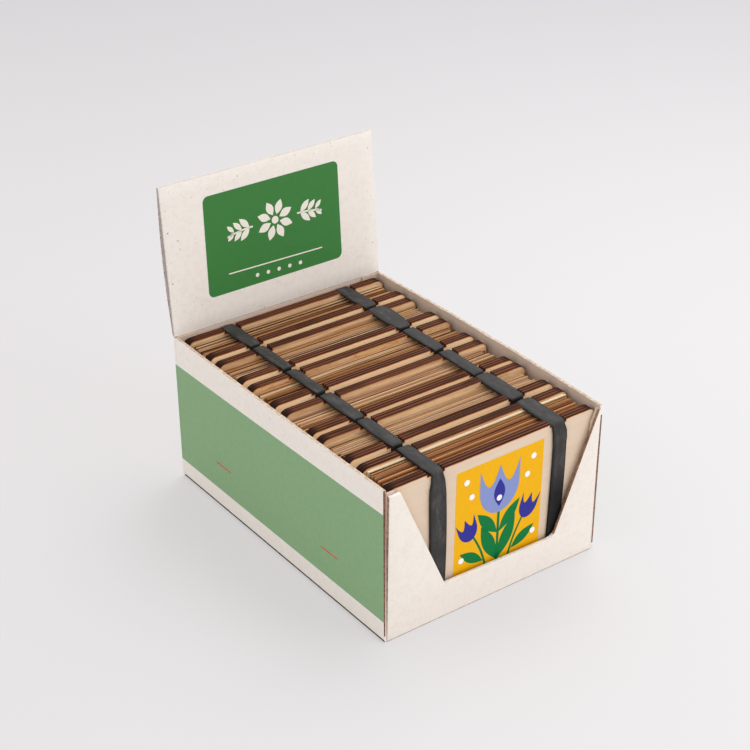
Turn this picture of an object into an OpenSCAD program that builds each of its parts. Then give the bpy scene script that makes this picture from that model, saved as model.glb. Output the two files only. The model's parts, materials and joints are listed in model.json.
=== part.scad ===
// A counter tray of pocket flower presses, each one two plywood boards that squeeze
// corrugated cards and blotting papers between them under a pair of flat rubber bands.
// +Z is up, -Y is the front, and the origin is the middle of the tray's underside.

/* [Press] */
// Number of presses that stand in the tray
press_count = 6; // [2:1:8]
// Width of a plywood board
board_w = 96; // [85:0.5:120]
// Height of a plywood board
board_h = 61.6; // [50:0.1:80]
// Thickness of the plywood
board_t = 4; // [3:0.1:6]
// Radius of a board's corners
board_r = 3.4; // [2:0.1:8]
// Distance between the middles of the two bands
band_spacing = 56.4; // [40:0.1:62]
// Shift of both bands to the right of a board's middle
band_shift = 1; // [-3:0.1:3]

/* [Band] */
// Width of a flat rubber band
band_w = 7; // [4:0.1:10]
// Thickness of a rubber band
band_t = 1; // [0.6:0.05:2]
// Free room beside a band in its notch
notch_play = 0.6; // [0.2:0.05:1.5]

/* [Sheets] */
// Number of corrugated cards in a press
card_count = 3; // [1:1:5]
// Thickness of a corrugated card before it is squeezed
card_t = 3; // [1.8:0.05:4]
// Largest squeeze of one press's cards, all together
squeeze = 1.4; // [0:0.05:1.6]
// Blotting papers in each gap beside a card
papers_per_gap = 2; // [1:1:4]
// Thickness of a blotting paper
paper_t = 0.42; // [0.2:0.01:1]
// Air between two papers that lie together
paper_air = 0.05; // [0.02:0.01:0.2]
// Inset of the sheets from the sides of the boards
sheet_inset = 2.6; // [0.8:0.05:4]
// Drop of the sheets below the top of the boards
sheet_drop = 3.6; // [1.5:0.05:8]
// Height of the sheets above the bottom of the boards
sheet_rise = 1.4; // [1.1:0.05:4]
// Largest sideways slip of a sheet
sheet_slip = 0.8; // [0:0.05:0.8]

/* [Tray] */
// Thickness of the tray's board
wall_t = 1.3; // [0.8:0.05:2.5]
// Room between the presses and the left side
left_room = 1; // [0.35:0.05:3]
// Room between the presses and the right side
right_room = 0.4; // [0.35:0.05:3]
// Largest slack behind a press
slack = 1.25; // [0:0.05:3]
// Height of the rim above the presses
rim_rise = 1.1; // [0.5:0.05:6]
// Forward lean of the first press and the front panel, in degrees
front_lean = 1; // [0:0.05:3]
// Loss of lean from one press to the next, in degrees
lean_step = 0.36; // [0.2:0.01:0.6]
// Drop of the front panel below the rim
front_drop = 1.2; // [0:0.05:4]

/* [Front window] */
// Width of the flat top of the left wing
left_wing = 5; // [2:0.1:9]
// Width of the flat top of the right wing
right_wing = 1; // [0.6:0.1:9]
// Height of the sill at its left end
sill_h = 14.9; // [8:0.1:30]
// Fall of the sill from its left end to its right end
sill_fall = 1.1; // [0:0.1:3]
// Left end of the sill, from the left side of the tray
sill_left = 27; // [20:0.1:40]
// Right end of the sill, from the right side of the tray
sill_right = 20.5; // [14:0.1:40]
// Length of the soft corner at the right end of the sill
sill_soft = 4.2; // [1:0.1:8]
// Rise of the soft corner
sill_soft_rise = 1.9; // [0.2:0.1:4]
// Width of each of the two front corner tabs
front_tab_w = 3.2; // [1.5:0.1:6]

/* [Header] */
// Height of the header card above the rim
header_h = 61.8; // [40:0.1:90]
// Backward lean of the header, in degrees
header_lean = 5; // [0:0.1:12]
// Thickness of each of the header's two layers
header_t = 0.9; // [0.5:0.05:2]
// Widest gap between the two layers
header_gap = 1.1; // [0.2:0.05:3]

/* [Details] */
// Thickness of the glued corner tabs
tab_t = 0.9; // [0.4:0.05:1]
// Width of the glued corner tabs
tab_w = 8; // [4:0.1:12]
// Length of a lock slit in a side
slit_l = 10; // [5:0.5:16]
// Width of a lock slit
slit_w = 0.6; // [0.3:0.05:1.2]
// Height of the lock slits
slit_h = 20; // [10:0.5:40]

/* [Hidden] */
// Gap between pieces that slide past each other
run_gap = 0.35;
// Gap under a press
seat_gap = 0.15;
// Gap at the header's crease
crease_gap = 0.3;
// Overrun of every cut
cut_over = 1;
// Number of straight runs in the header's bowed layer
bow_runs = 8;
// Sideways slips of the cards and of the papers, as shares of the largest slip
card_slip_shares = [0.4, -0.7, 0.9, -0.2, 0.6, -1, 0.1];
paper_slip_shares = [-0.3, 0.5, -0.9, 0.2, 0.8, -0.6, 0, 1, -0.4, 0.7, -0.1];
// Squeeze of each press's cards from the front, as shares of the largest squeeze
squeeze_shares = [0.9, 0.25, 0, 1, 0.55, 0.4];
// Slack behind each press from the front, as shares of the largest slack
slack_shares = [1, 0, 0.85, 0.35, 0.1];
// Places of the lock slits, as shares of the tray's depth
slit_place_shares = [0.24, 0.76];

// A curve's fineness
$fn = 48;

// Papers of one gap, with the air between them
gap_papers_t = papers_per_gap * paper_t + (papers_per_gap - 1) * paper_air;
notch_w = band_w + 2 * notch_play;
sheet_w = board_w - 2 * sheet_inset;
sheet_h = board_h - sheet_drop - sheet_rise;

inner_w = board_w + left_room + right_room;
inner_d = room_to(press_count) + run_gap;
tray_w = inner_w + 2 * wall_t;
tray_d = inner_d + 2 * wall_t;
front_y = -tray_d / 2;
back_y = tray_d / 2;
tray_h = wall_t + seat_gap + board_h + rim_rise;
press_x = (left_room - right_room) / 2;
front_h = tray_h - front_drop;
back_lean = lean_of(press_count);
crease_z = tray_h + crease_gap;

TRAY_NODES = [
    "tray_base", "tray_left_side", "tray_right_side", "tray_back_panel", "tray_front_panel",
    "front_corner_tabs", "back_corner_tabs", "header_front_card", "header_back_card"
];
PRESS_PIECES = [
    "front_board", "back_board", "left_band", "right_band", "corrugated_cards", "blotting_papers"
];

// Forward lean of press k
function lean_of(k) = front_lean - lean_step * (k - 1);

// Forward shift at height z of a wall that leans by an angle
function lean_shift(angle, z) = -z * tan(angle);

// Share number i of a list that starts again when it ends
function cycled(list, i) = list[i % len(list)];

// Thickness of each squeezed card of press k, of its whole stack, across its boards and across its bands
function card_of(k) = card_t - squeeze * cycled(squeeze_shares, k - 1) / card_count;
function stack_of(k) = card_count * card_of(k) + (card_count + 1) * gap_papers_t;
function boards_of(k) = stack_of(k) + 2 * board_t;
function press_of(k) = boards_of(k) + 2 * band_t;

// Slack behind press k, and room from the tray's inner front to the back of press k
function slack_of(k) = k < 1 ? 0 : slack * cycled(slack_shares, k - 1);
function room_to(k) = k < 1 ? 0 : room_to(k - 1) + slack_of(k - 1) + run_gap + press_of(k);

// Middle of press k at the tray's floor
function press_y(k) = front_y + wall_t + room_to(k) - press_of(k) / 2;

// Height at which press k stands clear of the floor
function seat_z(k) = wall_t + seat_gap + press_of(k) / 2 * abs(sin(lean_of(k)));

// Draws a profile of y and z and runs it from x by a width
module along_x(x, width) {
    translate([x, 0, 0]) rotate([90, 0, 90]) linear_extrude(width) children();
}

// Draws an outline of x and z and runs it back from y by a thickness
module along_y(y, thickness) {
    translate([0, y + thickness, 0]) rotate([90, 0, 0]) linear_extrude(thickness) children();
}

module round_outline(width, height, radius) {
    translate([radius, 0]) square([width - 2 * radius, height]);
    translate([0, radius]) square([width, height - 2 * radius]);
    for (x = [radius, width - radius], y = [radius, height - radius])
        translate([x, y]) circle(radius);
}

// Puts a press drawn about its own foot into its place in the tray
module in_press(k) {
    translate([press_x, press_y(k), seat_z(k)]) rotate([lean_of(k), 0, 0]) children();
}

// Middle of the left (-1) or right (1) band
function band_x(side) = band_shift + side * band_spacing / 2;

module board_outline() {
    difference() {
        translate([-board_w / 2, 0]) round_outline(board_w, board_h, board_r);
        for (side = [-1, 1], z = [-cut_over, board_h - band_t])
            translate([band_x(side) - notch_w / 2, z]) square([notch_w, band_t + cut_over]);
    }
}

module front_board(k) {
    color("#d9c09a") in_press(k) along_y(-boards_of(k) / 2, board_t) board_outline();
}

module back_board(k) {
    color("#d2b68d") in_press(k) along_y(boards_of(k) / 2 - board_t, board_t) board_outline();
}

module band(k, side) {
    color("#484849") in_press(k) along_x(band_x(side) - band_w / 2, band_w) difference() {
        translate([-press_of(k) / 2, 0]) round_outline(press_of(k), board_h, band_t);
        translate([-boards_of(k) / 2, band_t]) square([boards_of(k), board_h - 2 * band_t]);
    }
}

// Start of layer i of press k from the front, where a layer is a gap's papers and one card
function layer_y(k, i) = -stack_of(k) / 2 + i * (gap_papers_t + card_of(k));

module sheet(y, thickness, slip) {
    along_y(y, thickness)
        translate([slip * sheet_slip - sheet_w / 2, sheet_rise]) square([sheet_w, sheet_h]);
}

module corrugated_cards(k) {
    color("#a5825a") in_press(k) for (i = [0:card_count - 1])
        sheet(layer_y(k, i) + gap_papers_t, card_of(k), cycled(card_slip_shares, i + 2 * k));
}

module blotting_papers(k) {
    color("#dccfae") in_press(k) for (i = [0:card_count], j = [0:papers_per_gap - 1])
        sheet(layer_y(k, i) + j * (paper_t + paper_air), paper_t,
            cycled(paper_slip_shares, i * papers_per_gap + j + 3 * k));
}

// Upright wall profile from y by a thickness, leaning by an angle, up to a height
module wall_profile(y, thickness, angle, height) {
    polygon([
        [y, 0], [y + thickness, 0],
        [y + thickness + lean_shift(angle, height), height], [y + lean_shift(angle, height), height]
    ]);
}

module tray_base() {
    color("#d8cec2") along_x(-inner_w / 2, inner_w) polygon([
        [front_y + wall_t, 0], [back_y - wall_t, 0],
        [back_y - wall_t + lean_shift(back_lean, wall_t), wall_t],
        [front_y + wall_t + lean_shift(front_lean, wall_t), wall_t]
    ]);
}

module tray_side(x) {
    difference() {
        along_x(x, wall_t) polygon([
            [front_y, 0], [back_y - wall_t, 0],
            [back_y - wall_t + lean_shift(back_lean, tray_h), tray_h], [front_y, tray_h]
        ]);
        for (share = slit_place_shares)
            translate([x - cut_over, front_y + share * tray_d - slit_l / 2, slit_h])
                cube([wall_t + 2 * cut_over, slit_l, slit_w]);
    }
}

module tray_left_side() {
    color("#83a07c") tray_side(-tray_w / 2);
}

module tray_right_side() {
    color("#d9d0c6") tray_side(tray_w / 2 - wall_t);
}

module tray_back_panel() {
    color("#dcd3c9") along_x(-tray_w / 2, tray_w)
        wall_profile(back_y - wall_t, wall_t, back_lean, tray_h);
}

module window_outline() {
    polygon([
        [-inner_w / 2 + left_wing, front_h + cut_over], [-inner_w / 2 + left_wing, front_h],
        [-tray_w / 2 + sill_left, sill_h], [tray_w / 2 - sill_right - sill_soft, sill_h - sill_fall],
        [tray_w / 2 - sill_right, sill_h - sill_fall + sill_soft_rise],
        [inner_w / 2 - right_wing, front_h], [inner_w / 2 - right_wing, front_h + cut_over]
    ]);
}

module tray_front_panel() {
    color("#ece4de") difference() {
        along_x(-inner_w / 2, inner_w) wall_profile(front_y, wall_t, front_lean, front_h);
        along_y(front_y + lean_shift(front_lean, front_h) - cut_over,
            wall_t - lean_shift(front_lean, front_h) + 2 * cut_over) window_outline();
    }
}

// Both tabs of one end, kept inside the wing of the front panel
module corner_tabs(y, angle, width, height) {
    for (x = [-inner_w / 2, inner_w / 2 - width])
        along_x(x, width) intersection() {
            wall_profile(y, tab_t, angle, height);
            translate([front_y - tray_d, wall_t]) square([3 * tray_d, height]);
        }
}

module front_corner_tabs() {
    color("#c9b8a6") difference() {
        corner_tabs(front_y + wall_t, front_lean, front_tab_w, front_h);
        along_y(front_y + wall_t + lean_shift(front_lean, front_h) - cut_over,
            tab_t - lean_shift(front_lean, front_h) + 2 * cut_over) window_outline();
    }
}

module back_corner_tabs() {
    color("#c9b8a6") corner_tabs(back_y - wall_t - tab_t, back_lean, tab_w, tray_h);
}

// Front face of the header at its crease
header_y = back_y - wall_t + lean_shift(back_lean, tray_h);
header_rise = header_h * cos(header_lean);

module header_front_card() {
    color("#e9e1d8") along_x(-tray_w / 2, tray_w) translate([header_y, crease_z])
        wall_profile(0, header_t, -header_lean, header_rise);
}

// Bow of the back layer at share s of the header's height
function bow(s) = header_gap * sin(180 * s);

module header_back_card() {
    color("#b9aea6") along_x(-tray_w / 2, tray_w) translate([header_y + header_t, crease_z])
        polygon(concat(
            [for (i = [0:bow_runs]) bow_point(i / bow_runs, 0)],
            [for (i = [bow_runs:-1:0]) bow_point(i / bow_runs, header_t)]
        ));
}

function bow_point(s, out) = [
    lean_shift(-header_lean, s * header_rise) + bow(s) + out, s * header_rise
];

tray_base();
tray_left_side();
tray_right_side();
tray_back_panel();
tray_front_panel();
front_corner_tabs();
back_corner_tabs();
header_front_card();
header_back_card();
for (k = [1:press_count]) {
    front_board(k);
    back_board(k);
    band(k, -1);
    band(k, 1);
    corrugated_cards(k);
    blotting_papers(k);
}
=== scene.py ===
"""Looks of a counter tray of pocket flower presses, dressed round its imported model.

Lengths are in metres. +Z is up, -Y is the front, and the origin is the middle of the tray's underside.
"""

import json
import logging
import math
import random
from dataclasses import dataclass, field
from enum import Enum
from functools import cache
from typing import Callable, ClassVar, Iterable, Sequence

import bmesh
import bpy
from bpy.types import Material, Node, NodeSocket, NodeTree, Object
from mathutils import Matrix, Vector, noise

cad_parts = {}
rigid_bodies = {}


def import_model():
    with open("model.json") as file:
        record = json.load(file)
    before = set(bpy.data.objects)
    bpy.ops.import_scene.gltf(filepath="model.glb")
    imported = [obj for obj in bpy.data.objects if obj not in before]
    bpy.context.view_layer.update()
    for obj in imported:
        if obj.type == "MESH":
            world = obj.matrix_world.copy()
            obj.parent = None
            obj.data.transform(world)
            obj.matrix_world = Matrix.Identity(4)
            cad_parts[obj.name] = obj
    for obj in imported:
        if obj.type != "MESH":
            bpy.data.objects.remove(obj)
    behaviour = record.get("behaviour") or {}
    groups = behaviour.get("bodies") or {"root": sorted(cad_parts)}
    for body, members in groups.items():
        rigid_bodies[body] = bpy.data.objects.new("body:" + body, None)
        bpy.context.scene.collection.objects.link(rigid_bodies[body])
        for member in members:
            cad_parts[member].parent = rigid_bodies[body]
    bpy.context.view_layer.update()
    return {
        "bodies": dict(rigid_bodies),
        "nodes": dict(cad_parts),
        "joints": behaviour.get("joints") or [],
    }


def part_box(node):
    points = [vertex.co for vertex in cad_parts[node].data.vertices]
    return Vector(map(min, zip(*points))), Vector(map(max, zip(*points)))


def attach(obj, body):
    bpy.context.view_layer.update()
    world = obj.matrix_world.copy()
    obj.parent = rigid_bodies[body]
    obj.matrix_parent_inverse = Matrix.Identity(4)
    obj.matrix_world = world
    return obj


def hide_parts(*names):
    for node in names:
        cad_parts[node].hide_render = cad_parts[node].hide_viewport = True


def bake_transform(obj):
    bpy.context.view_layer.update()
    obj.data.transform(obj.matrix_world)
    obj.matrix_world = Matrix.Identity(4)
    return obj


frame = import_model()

LOG = logging.getLogger("flower_press")

MM = 0.001
X, Y, Z = 0, 1, 2
HAIR = 1e-6
STRAIGHT = 0.999
# Least part of a face's normal along an axis if it leans that way, faces it or lies square to it
LEANS, FACES, SQUARE = 0.3, 0.6, 0.85
ORIGIN = (0.0, 0.0, 0.0)
WHITE = (1.0, 1.0, 1.0, 1.0)
BLACK = (0.0, 0.0, 0.0, 1.0)

Colour = tuple[float, float, float, float]
Point = tuple[float, float]
Triple = tuple[float, float, float]
Value = float | Sequence[float] | NodeSocket


def srgb(red: int, green: int, blue: int) -> Colour:
    """Turns an 8-bit screen colour into a linear one.

    Args:
        red: Red from 0 to 255.
        green: Green from 0 to 255.
        blue: Blue from 0 to 255.

    Returns:
        The linear colour with full alpha.
    """
    shares = (channel / 255 for channel in (red, green, blue))
    linear = (s / 12.92 if s <= 0.04045 else ((s + 0.055) / 1.055) ** 2.4 for s in shares)
    return (*linear, 1.0)


class Element(Enum):
    """The kinds of mesh element that edit mode selects."""

    EDGE = "edges"
    FACE = "faces"


class Tone(Enum):
    """Colours of the cards and papers between the boards."""

    CREAM = srgb(246, 236, 210)
    PALE = srgb(234, 200, 158)
    SAND = srgb(212, 164, 118)
    GREY = srgb(196, 154, 120)
    OLIVE = srgb(190, 136, 84)
    GOLD = srgb(192, 128, 64)
    BROWN = srgb(162, 106, 66)
    DARK = srgb(102, 60, 38)


class Bench:
    """Hand tools of the workbench, each one an operator or two on one piece."""

    @staticmethod
    def clear() -> None:
        """Deselects every object."""
        bpy.ops.object.select_all(action="DESELECT")

    @staticmethod
    def hold(*pieces: Object) -> None:
        """Selects pieces and makes the first of them active."""
        Bench.clear()
        for piece in pieces:
            piece.select_set(True)
        bpy.context.view_layer.objects.active = pieces[0]

    @staticmethod
    def settle(piece: Object) -> None:
        """Applies the place, turn and scale of a piece to its mesh."""
        Bench.hold(piece)
        bpy.ops.object.transform_apply(location=True, rotation=True, scale=True)

    @staticmethod
    def block(name: str, low: Sequence[float], high: Sequence[float]) -> Object:
        """Adds a block between two corners.

        Args:
            name: Name of the piece.
            low: Lowest corner.
            high: Highest corner.

        Returns:
            The block, with its place in its mesh.
        """
        low, high = Vector(low), Vector(high)
        Bench.clear()
        bpy.ops.mesh.primitive_cube_add(size=1.0, location=(low + high) / 2, scale=high - low)
        piece = bpy.context.object
        piece.name = piece.data.name = name
        Bench.settle(piece)
        return piece

    @staticmethod
    def sheet(name: str, width: float, height: float, columns: int, rows: int) -> Object:
        """Adds a grid that stands upright on X and Z with its lower left corner at the origin.

        Args:
            name: Name of the piece.
            width: Its size along X.
            height: Its size along Z.
            columns: Number of its faces along X.
            rows: Number of its faces along Z.

        Returns:
            The flat grid.
        """
        Bench.clear()
        bpy.ops.mesh.primitive_grid_add(
            x_subdivisions=columns, y_subdivisions=rows, size=1.0,
            location=(width / 2, 0, height / 2), rotation=(math.pi / 2, 0, 0),
        )
        piece = bpy.context.object
        piece.name = piece.data.name = name
        piece.scale = (width, height, 1.0)
        Bench.settle(piece)
        return piece

    @staticmethod
    def cutout(name: str, outline: Sequence[Point], thickness: float) -> Object:
        """Cuts an outline of x and z from a thin sheet whose back lies at y zero.

        Args:
            name: Name of the piece.
            outline: Points in order round the shape.
            thickness: Thickness of the sheet, towards -Y.

        Returns:
            The closed flat shape.
        """
        Bench.clear()
        bpy.ops.mesh.primitive_circle_add(vertices=len(outline), radius=1.0, fill_type="NGON")
        piece = bpy.context.object
        piece.name = piece.data.name = name
        for vertex, (x, z) in zip(piece.data.vertices, outline):
            vertex.co = (x, 0.0, z)
        Bench.mark(piece, Element.FACE, lambda face: True)
        bpy.ops.mesh.extrude_region_move(TRANSFORM_OT_translate={"value": (0.0, -thickness, 0.0)})
        bpy.ops.mesh.select_all(action="SELECT")
        bpy.ops.mesh.normals_make_consistent(inside=False)
        bpy.ops.object.mode_set(mode="OBJECT")
        return piece

    @staticmethod
    def mark(piece: Object, kind: Element, test: Callable[[object], bool]) -> None:
        """Opens a piece in edit mode with the elements selected that pass a test.

        Args:
            piece: The piece to open.
            kind: Which of its elements are tested.
            test: Says whether an element is selected.
        """
        Bench.hold(piece)
        bpy.ops.object.mode_set(mode="EDIT")
        bpy.ops.mesh.select_mode(type=kind.name)
        bpy.ops.mesh.select_all(action="DESELECT")
        shape = bmesh.from_edit_mesh(piece.data)
        shape.normal_update()
        for element in getattr(shape, kind.value):
            if test(element):
                element.select_set(True)
        shape.select_flush_mode()
        bmesh.update_edit_mesh(piece.data)

    @staticmethod
    def bevel(piece: Object, test: Callable[[object], bool], width: float, segments: int) -> None:
        """Rounds the edges that pass a test.

        Args:
            piece: The piece to work on.
            test: Says whether an edge is rounded.
            width: How far the rounding reaches from the edge.
            segments: Number of faces across the rounding.
        """
        Bench.mark(piece, Element.EDGE, test)
        bpy.ops.mesh.bevel(offset=width, segments=segments, affect="EDGES", clamp_overlap=True)
        bpy.ops.object.mode_set(mode="OBJECT")

    @staticmethod
    def divide(piece: Object, axis: int, cuts: int) -> None:
        """Divides every long edge that runs along an axis into equal runs.

        Args:
            piece: The piece to work on.
            axis: X, Y or Z.
            cuts: Number of cuts in each edge.
        """
        Bench.mark(piece, Element.EDGE, lambda edge: runs_along(edge, axis))
        bpy.ops.mesh.subdivide(number_cuts=cuts)
        bpy.ops.object.mode_set(mode="OBJECT")

    @staticmethod
    def slice(piece: Object, axis: int, places: Iterable[float]) -> None:
        """Bisects a whole piece across an axis at some places.

        Args:
            piece: The piece to work on.
            axis: X, Y or Z.
            places: Where the cuts lie on the axis.
        """
        Bench.mark(piece, Element.FACE, lambda face: True)
        way = Vector((axis == X, axis == Y, axis == Z))
        for place in places:
            bpy.ops.mesh.select_all(action="SELECT")
            bpy.ops.mesh.bisect(plane_co=way * place, plane_no=way)
        bpy.ops.object.mode_set(mode="OBJECT")

    @staticmethod
    def open_ends(piece: Object, test: Callable[[object], bool]) -> None:
        """Deletes the faces of a piece that pass a test."""
        Bench.mark(piece, Element.FACE, test)
        bpy.ops.mesh.delete(type="FACE")
        bpy.ops.object.mode_set(mode="OBJECT")

    @staticmethod
    def modify(piece: Object, kind: str, **settings: object) -> None:
        """Adds a modifier and applies it.

        Args:
            piece: The piece to work on.
            kind: Blender's name for the modifier's type.
            **settings: Properties of the modifier.
        """
        modifier = piece.modifiers.new(kind.lower(), kind)
        for name, value in settings.items():
            setattr(modifier, name, value)
        Bench.hold(piece)
        bpy.ops.object.modifier_apply(modifier=modifier.name)

    @staticmethod
    def cut(piece: Object, cutter: Object) -> None:
        """Cuts a piece with a cutter and throws the cutter away."""
        Bench.modify(piece, "BOOLEAN", operation="DIFFERENCE", solver="EXACT", object=cutter)
        bpy.data.objects.remove(cutter)

    @staticmethod
    def join(name: str, pieces: Sequence[Object]) -> Object:
        """Joins pieces into the first one.

        Args:
            name: New name of the joined piece.
            pieces: The pieces to join.

        Returns:
            The joined piece.
        """
        Bench.hold(*pieces)
        if len(pieces) > 1:
            bpy.ops.object.join()
        pieces[0].name = pieces[0].data.name = name
        return pieces[0]

    @staticmethod
    def copy(piece: Object, name: str) -> Object:
        """Copies a piece with a mesh of its own.

        Args:
            piece: The piece to copy.
            name: Name of the copy.

        Returns:
            The copy.
        """
        twin = piece.copy()
        twin.data = piece.data.copy()
        twin.name = twin.data.name = name
        bpy.context.scene.collection.objects.link(twin)
        return twin

    @staticmethod
    def shift(piece: Object, by: Sequence[float]) -> None:
        """Moves the mesh of a piece."""
        piece.location = by
        Bench.settle(piece)

    @staticmethod
    def tilt(piece: Object, angle: float, pivot: Sequence[float] = ORIGIN) -> None:
        """Leans a piece about a line along X.

        Args:
            piece: The piece to lean.
            angle: The lean in radians, forwards for a positive one.
            pivot: A point on the line.
        """
        piece.location = Vector(pivot) - Matrix.Rotation(angle, 3, "X") @ Vector(pivot)
        piece.rotation_euler.x = angle
        Bench.settle(piece)

    @staticmethod
    def reshape(piece: Object, move: Callable[[Vector], Vector]) -> None:
        """Moves every vertex of a piece by a formula."""
        for vertex in piece.data.vertices:
            vertex.co = move(vertex.co)
        piece.data.update()

    @staticmethod
    def smooth(piece: Object, angle: float = 35.0) -> None:
        """Shades a piece smooth up to an angle in degrees."""
        Bench.hold(piece)
        bpy.ops.object.shade_smooth_by_angle(angle=math.radians(angle))

    @staticmethod
    def paint(
        piece: Object, finishes: Sequence["Finish"], pick: Callable[[object], "Finish"] | None = None,
    ) -> None:
        """Gives a piece its finishes.

        Args:
            piece: The piece to dress.
            finishes: All the finishes that it has.
            pick: Gives the finish of a face. Without it the first finish goes all over.
        """
        piece.data.materials.clear()
        for finish in finishes:
            piece.data.materials.append(finish.material())
        for face in piece.data.polygons:
            face.material_index = finishes.index(pick(face)) if pick else 0

    @staticmethod
    def note(piece: Object, name: str, rule: Callable[[Vector], Sequence[float]]) -> None:
        """Writes a vector attribute that follows each vertex's place.

        Args:
            piece: The piece to write on.
            name: Name of the attribute.
            rule: Gives the vector for a place.
        """
        layer = piece.data.attributes.new(name, "FLOAT_VECTOR", "POINT")
        for vertex, entry in zip(piece.data.vertices, layer.data):
            entry.vector = rule(vertex.co)

    @staticmethod
    def tint(piece: Object, colour: Colour) -> None:
        """Writes one colour into the tint attribute of a whole piece."""
        layer = piece.data.attributes.new("tint", "FLOAT_COLOR", "POINT")
        for entry in layer.data:
            entry.color = colour


def runs_along(edge: object, axis: int) -> bool:
    """Says whether an edge runs along an axis."""
    way = edge.verts[1].co - edge.verts[0].co
    return abs(way[axis]) > STRAIGHT * way.length


def is_crease(edge: object, angle: float = 40.0) -> bool:
    """Says whether two faces meet at an edge by more than an angle in degrees."""
    return len(edge.link_faces) == 2 and edge.calc_face_angle() > math.radians(angle)


def ramp(value: float, start: float, length: float) -> float:
    """Share of a length that a value has covered from a start, held between zero and one."""
    return min(1.0, max(0.0, (value - start) / length))


def bezier(start: Point, turn: Point, end: Point, share: float) -> Point:
    """Point on a curve that leaves start and reaches end with one turn between them."""
    weights = ((1 - share) ** 2, 2 * share * (1 - share), share ** 2)
    return tuple(sum(w * p[i] for w, p in zip(weights, (start, turn, end))) for i in range(2))


def count_presses() -> int:
    """Counts the presses in the frame."""
    return sum(name.startswith("press_") for name in frame["bodies"])


class Wiring:
    """Adds nodes to one shader tree and wires their sockets."""

    def __init__(self, tree: NodeTree) -> None:
        """Takes the tree that the nodes go into."""
        self.tree = tree

    def node(self, kind: str, inputs: dict[str | int, Value] | None = None, **settings: object) -> Node:
        """Adds a node.

        Args:
            kind: Blender's name for the node's type.
            inputs: Values or sockets for its inputs, by name or number.
            **settings: Properties of the node.

        Returns:
            The new node.
        """
        made = self.tree.nodes.new(kind)
        for name, value in settings.items():
            setattr(made, name, value)
        for name, value in (inputs or {}).items():
            self.feed(made.inputs[name], value)
        return made

    def feed(self, socket: NodeSocket, value: Value) -> None:
        """Wires a socket to another one, or sets its value.

        Args:
            socket: The socket that is fed.
            value: The value that it gets, or the socket that it is wired to.
        """
        if isinstance(value, NodeSocket):
            self.tree.links.new(value, socket)
        else:
            socket.default_value = value

    def math(self, operation: str, first: Value, second: Value = 0.0) -> NodeSocket:
        """Adds a math node and returns its value."""
        return self.node("ShaderNodeMath", {0: first, 1: second}, operation=operation).outputs[0]

    def plus(self, first: Value, second: Value) -> NodeSocket:
        """Adds two values."""
        return self.math("ADD", first, second)

    def minus(self, first: Value, second: Value) -> NodeSocket:
        """Takes the second value from the first."""
        return self.math("SUBTRACT", first, second)

    def times(self, first: Value, second: Value) -> NodeSocket:
        """Multiplies two values."""
        return self.math("MULTIPLY", first, second)

    def split(self, vector: NodeSocket) -> tuple[NodeSocket, NodeSocket, NodeSocket]:
        """Splits a vector into its three values."""
        outputs = self.node("ShaderNodeSeparateXYZ", {0: vector}).outputs
        return outputs[0], outputs[1], outputs[2]

    def stretch(self, vector: NodeSocket, scale: Sequence[float]) -> NodeSocket:
        """Scales a vector along its three axes."""
        return self.node("ShaderNodeVectorMath", {0: vector, 1: scale}, operation="MULTIPLY").outputs[0]

    def noise(
        self, vector: NodeSocket, scale: Value = 1.0, detail: float = 2.0, roughness: float = 0.5,
    ) -> NodeSocket:
        """Adds a noise texture and returns its value."""
        inputs = {"Vector": vector, "Scale": scale, "Detail": detail, "Roughness": roughness}
        return self.node("ShaderNodeTexNoise", inputs).outputs["Fac"]

    def step(self, value: Value, start: Value, end: Value, low: Value = 0.0, high: Value = 1.0) -> NodeSocket:
        """Maps a value smoothly from one range to another and holds it at both ends."""
        inputs = {"Value": value, "From Min": start, "From Max": end, "To Min": low, "To Max": high}
        return self.node("ShaderNodeMapRange", inputs, interpolation_type="SMOOTHSTEP").outputs["Result"]

    def mix(self, share: Value, first: Value, second: Value, blend: str = "MIX") -> NodeSocket:
        """Mixes two colours and returns the result."""
        made = self.node("ShaderNodeMix", {0: share, 6: first, 7: second}, data_type="RGBA", blend_type=blend)
        return made.outputs[2]

    def attribute(self, name: str, output: str = "Vector") -> NodeSocket:
        """Reads an attribute of the mesh."""
        return self.node("ShaderNodeAttribute", attribute_name=name).outputs[output]

    def object_place(self) -> NodeSocket:
        """Reads the place on the object."""
        return self.node("ShaderNodeTexCoord").outputs["Object"]

    def bump(self, height: NodeSocket, strength: float, distance: float) -> NodeSocket:
        """Turns a height into a normal."""
        inputs = {"Height": height, "Strength": strength, "Distance": distance}
        return self.node("ShaderNodeBump", inputs).outputs["Normal"]

    def effect(self, tree: NodeTree, **inputs: Value) -> Node:
        """Places a node group.

        Args:
            tree: The group.
            **inputs: Its inputs, by name with underscores for the spaces.

        Returns:
            The node that holds the group.
        """
        made = self.node("ShaderNodeGroup", node_tree=tree)
        for name, value in inputs.items():
            self.feed(made.inputs[name.replace("_", " ").title()], value)
        return made


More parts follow.
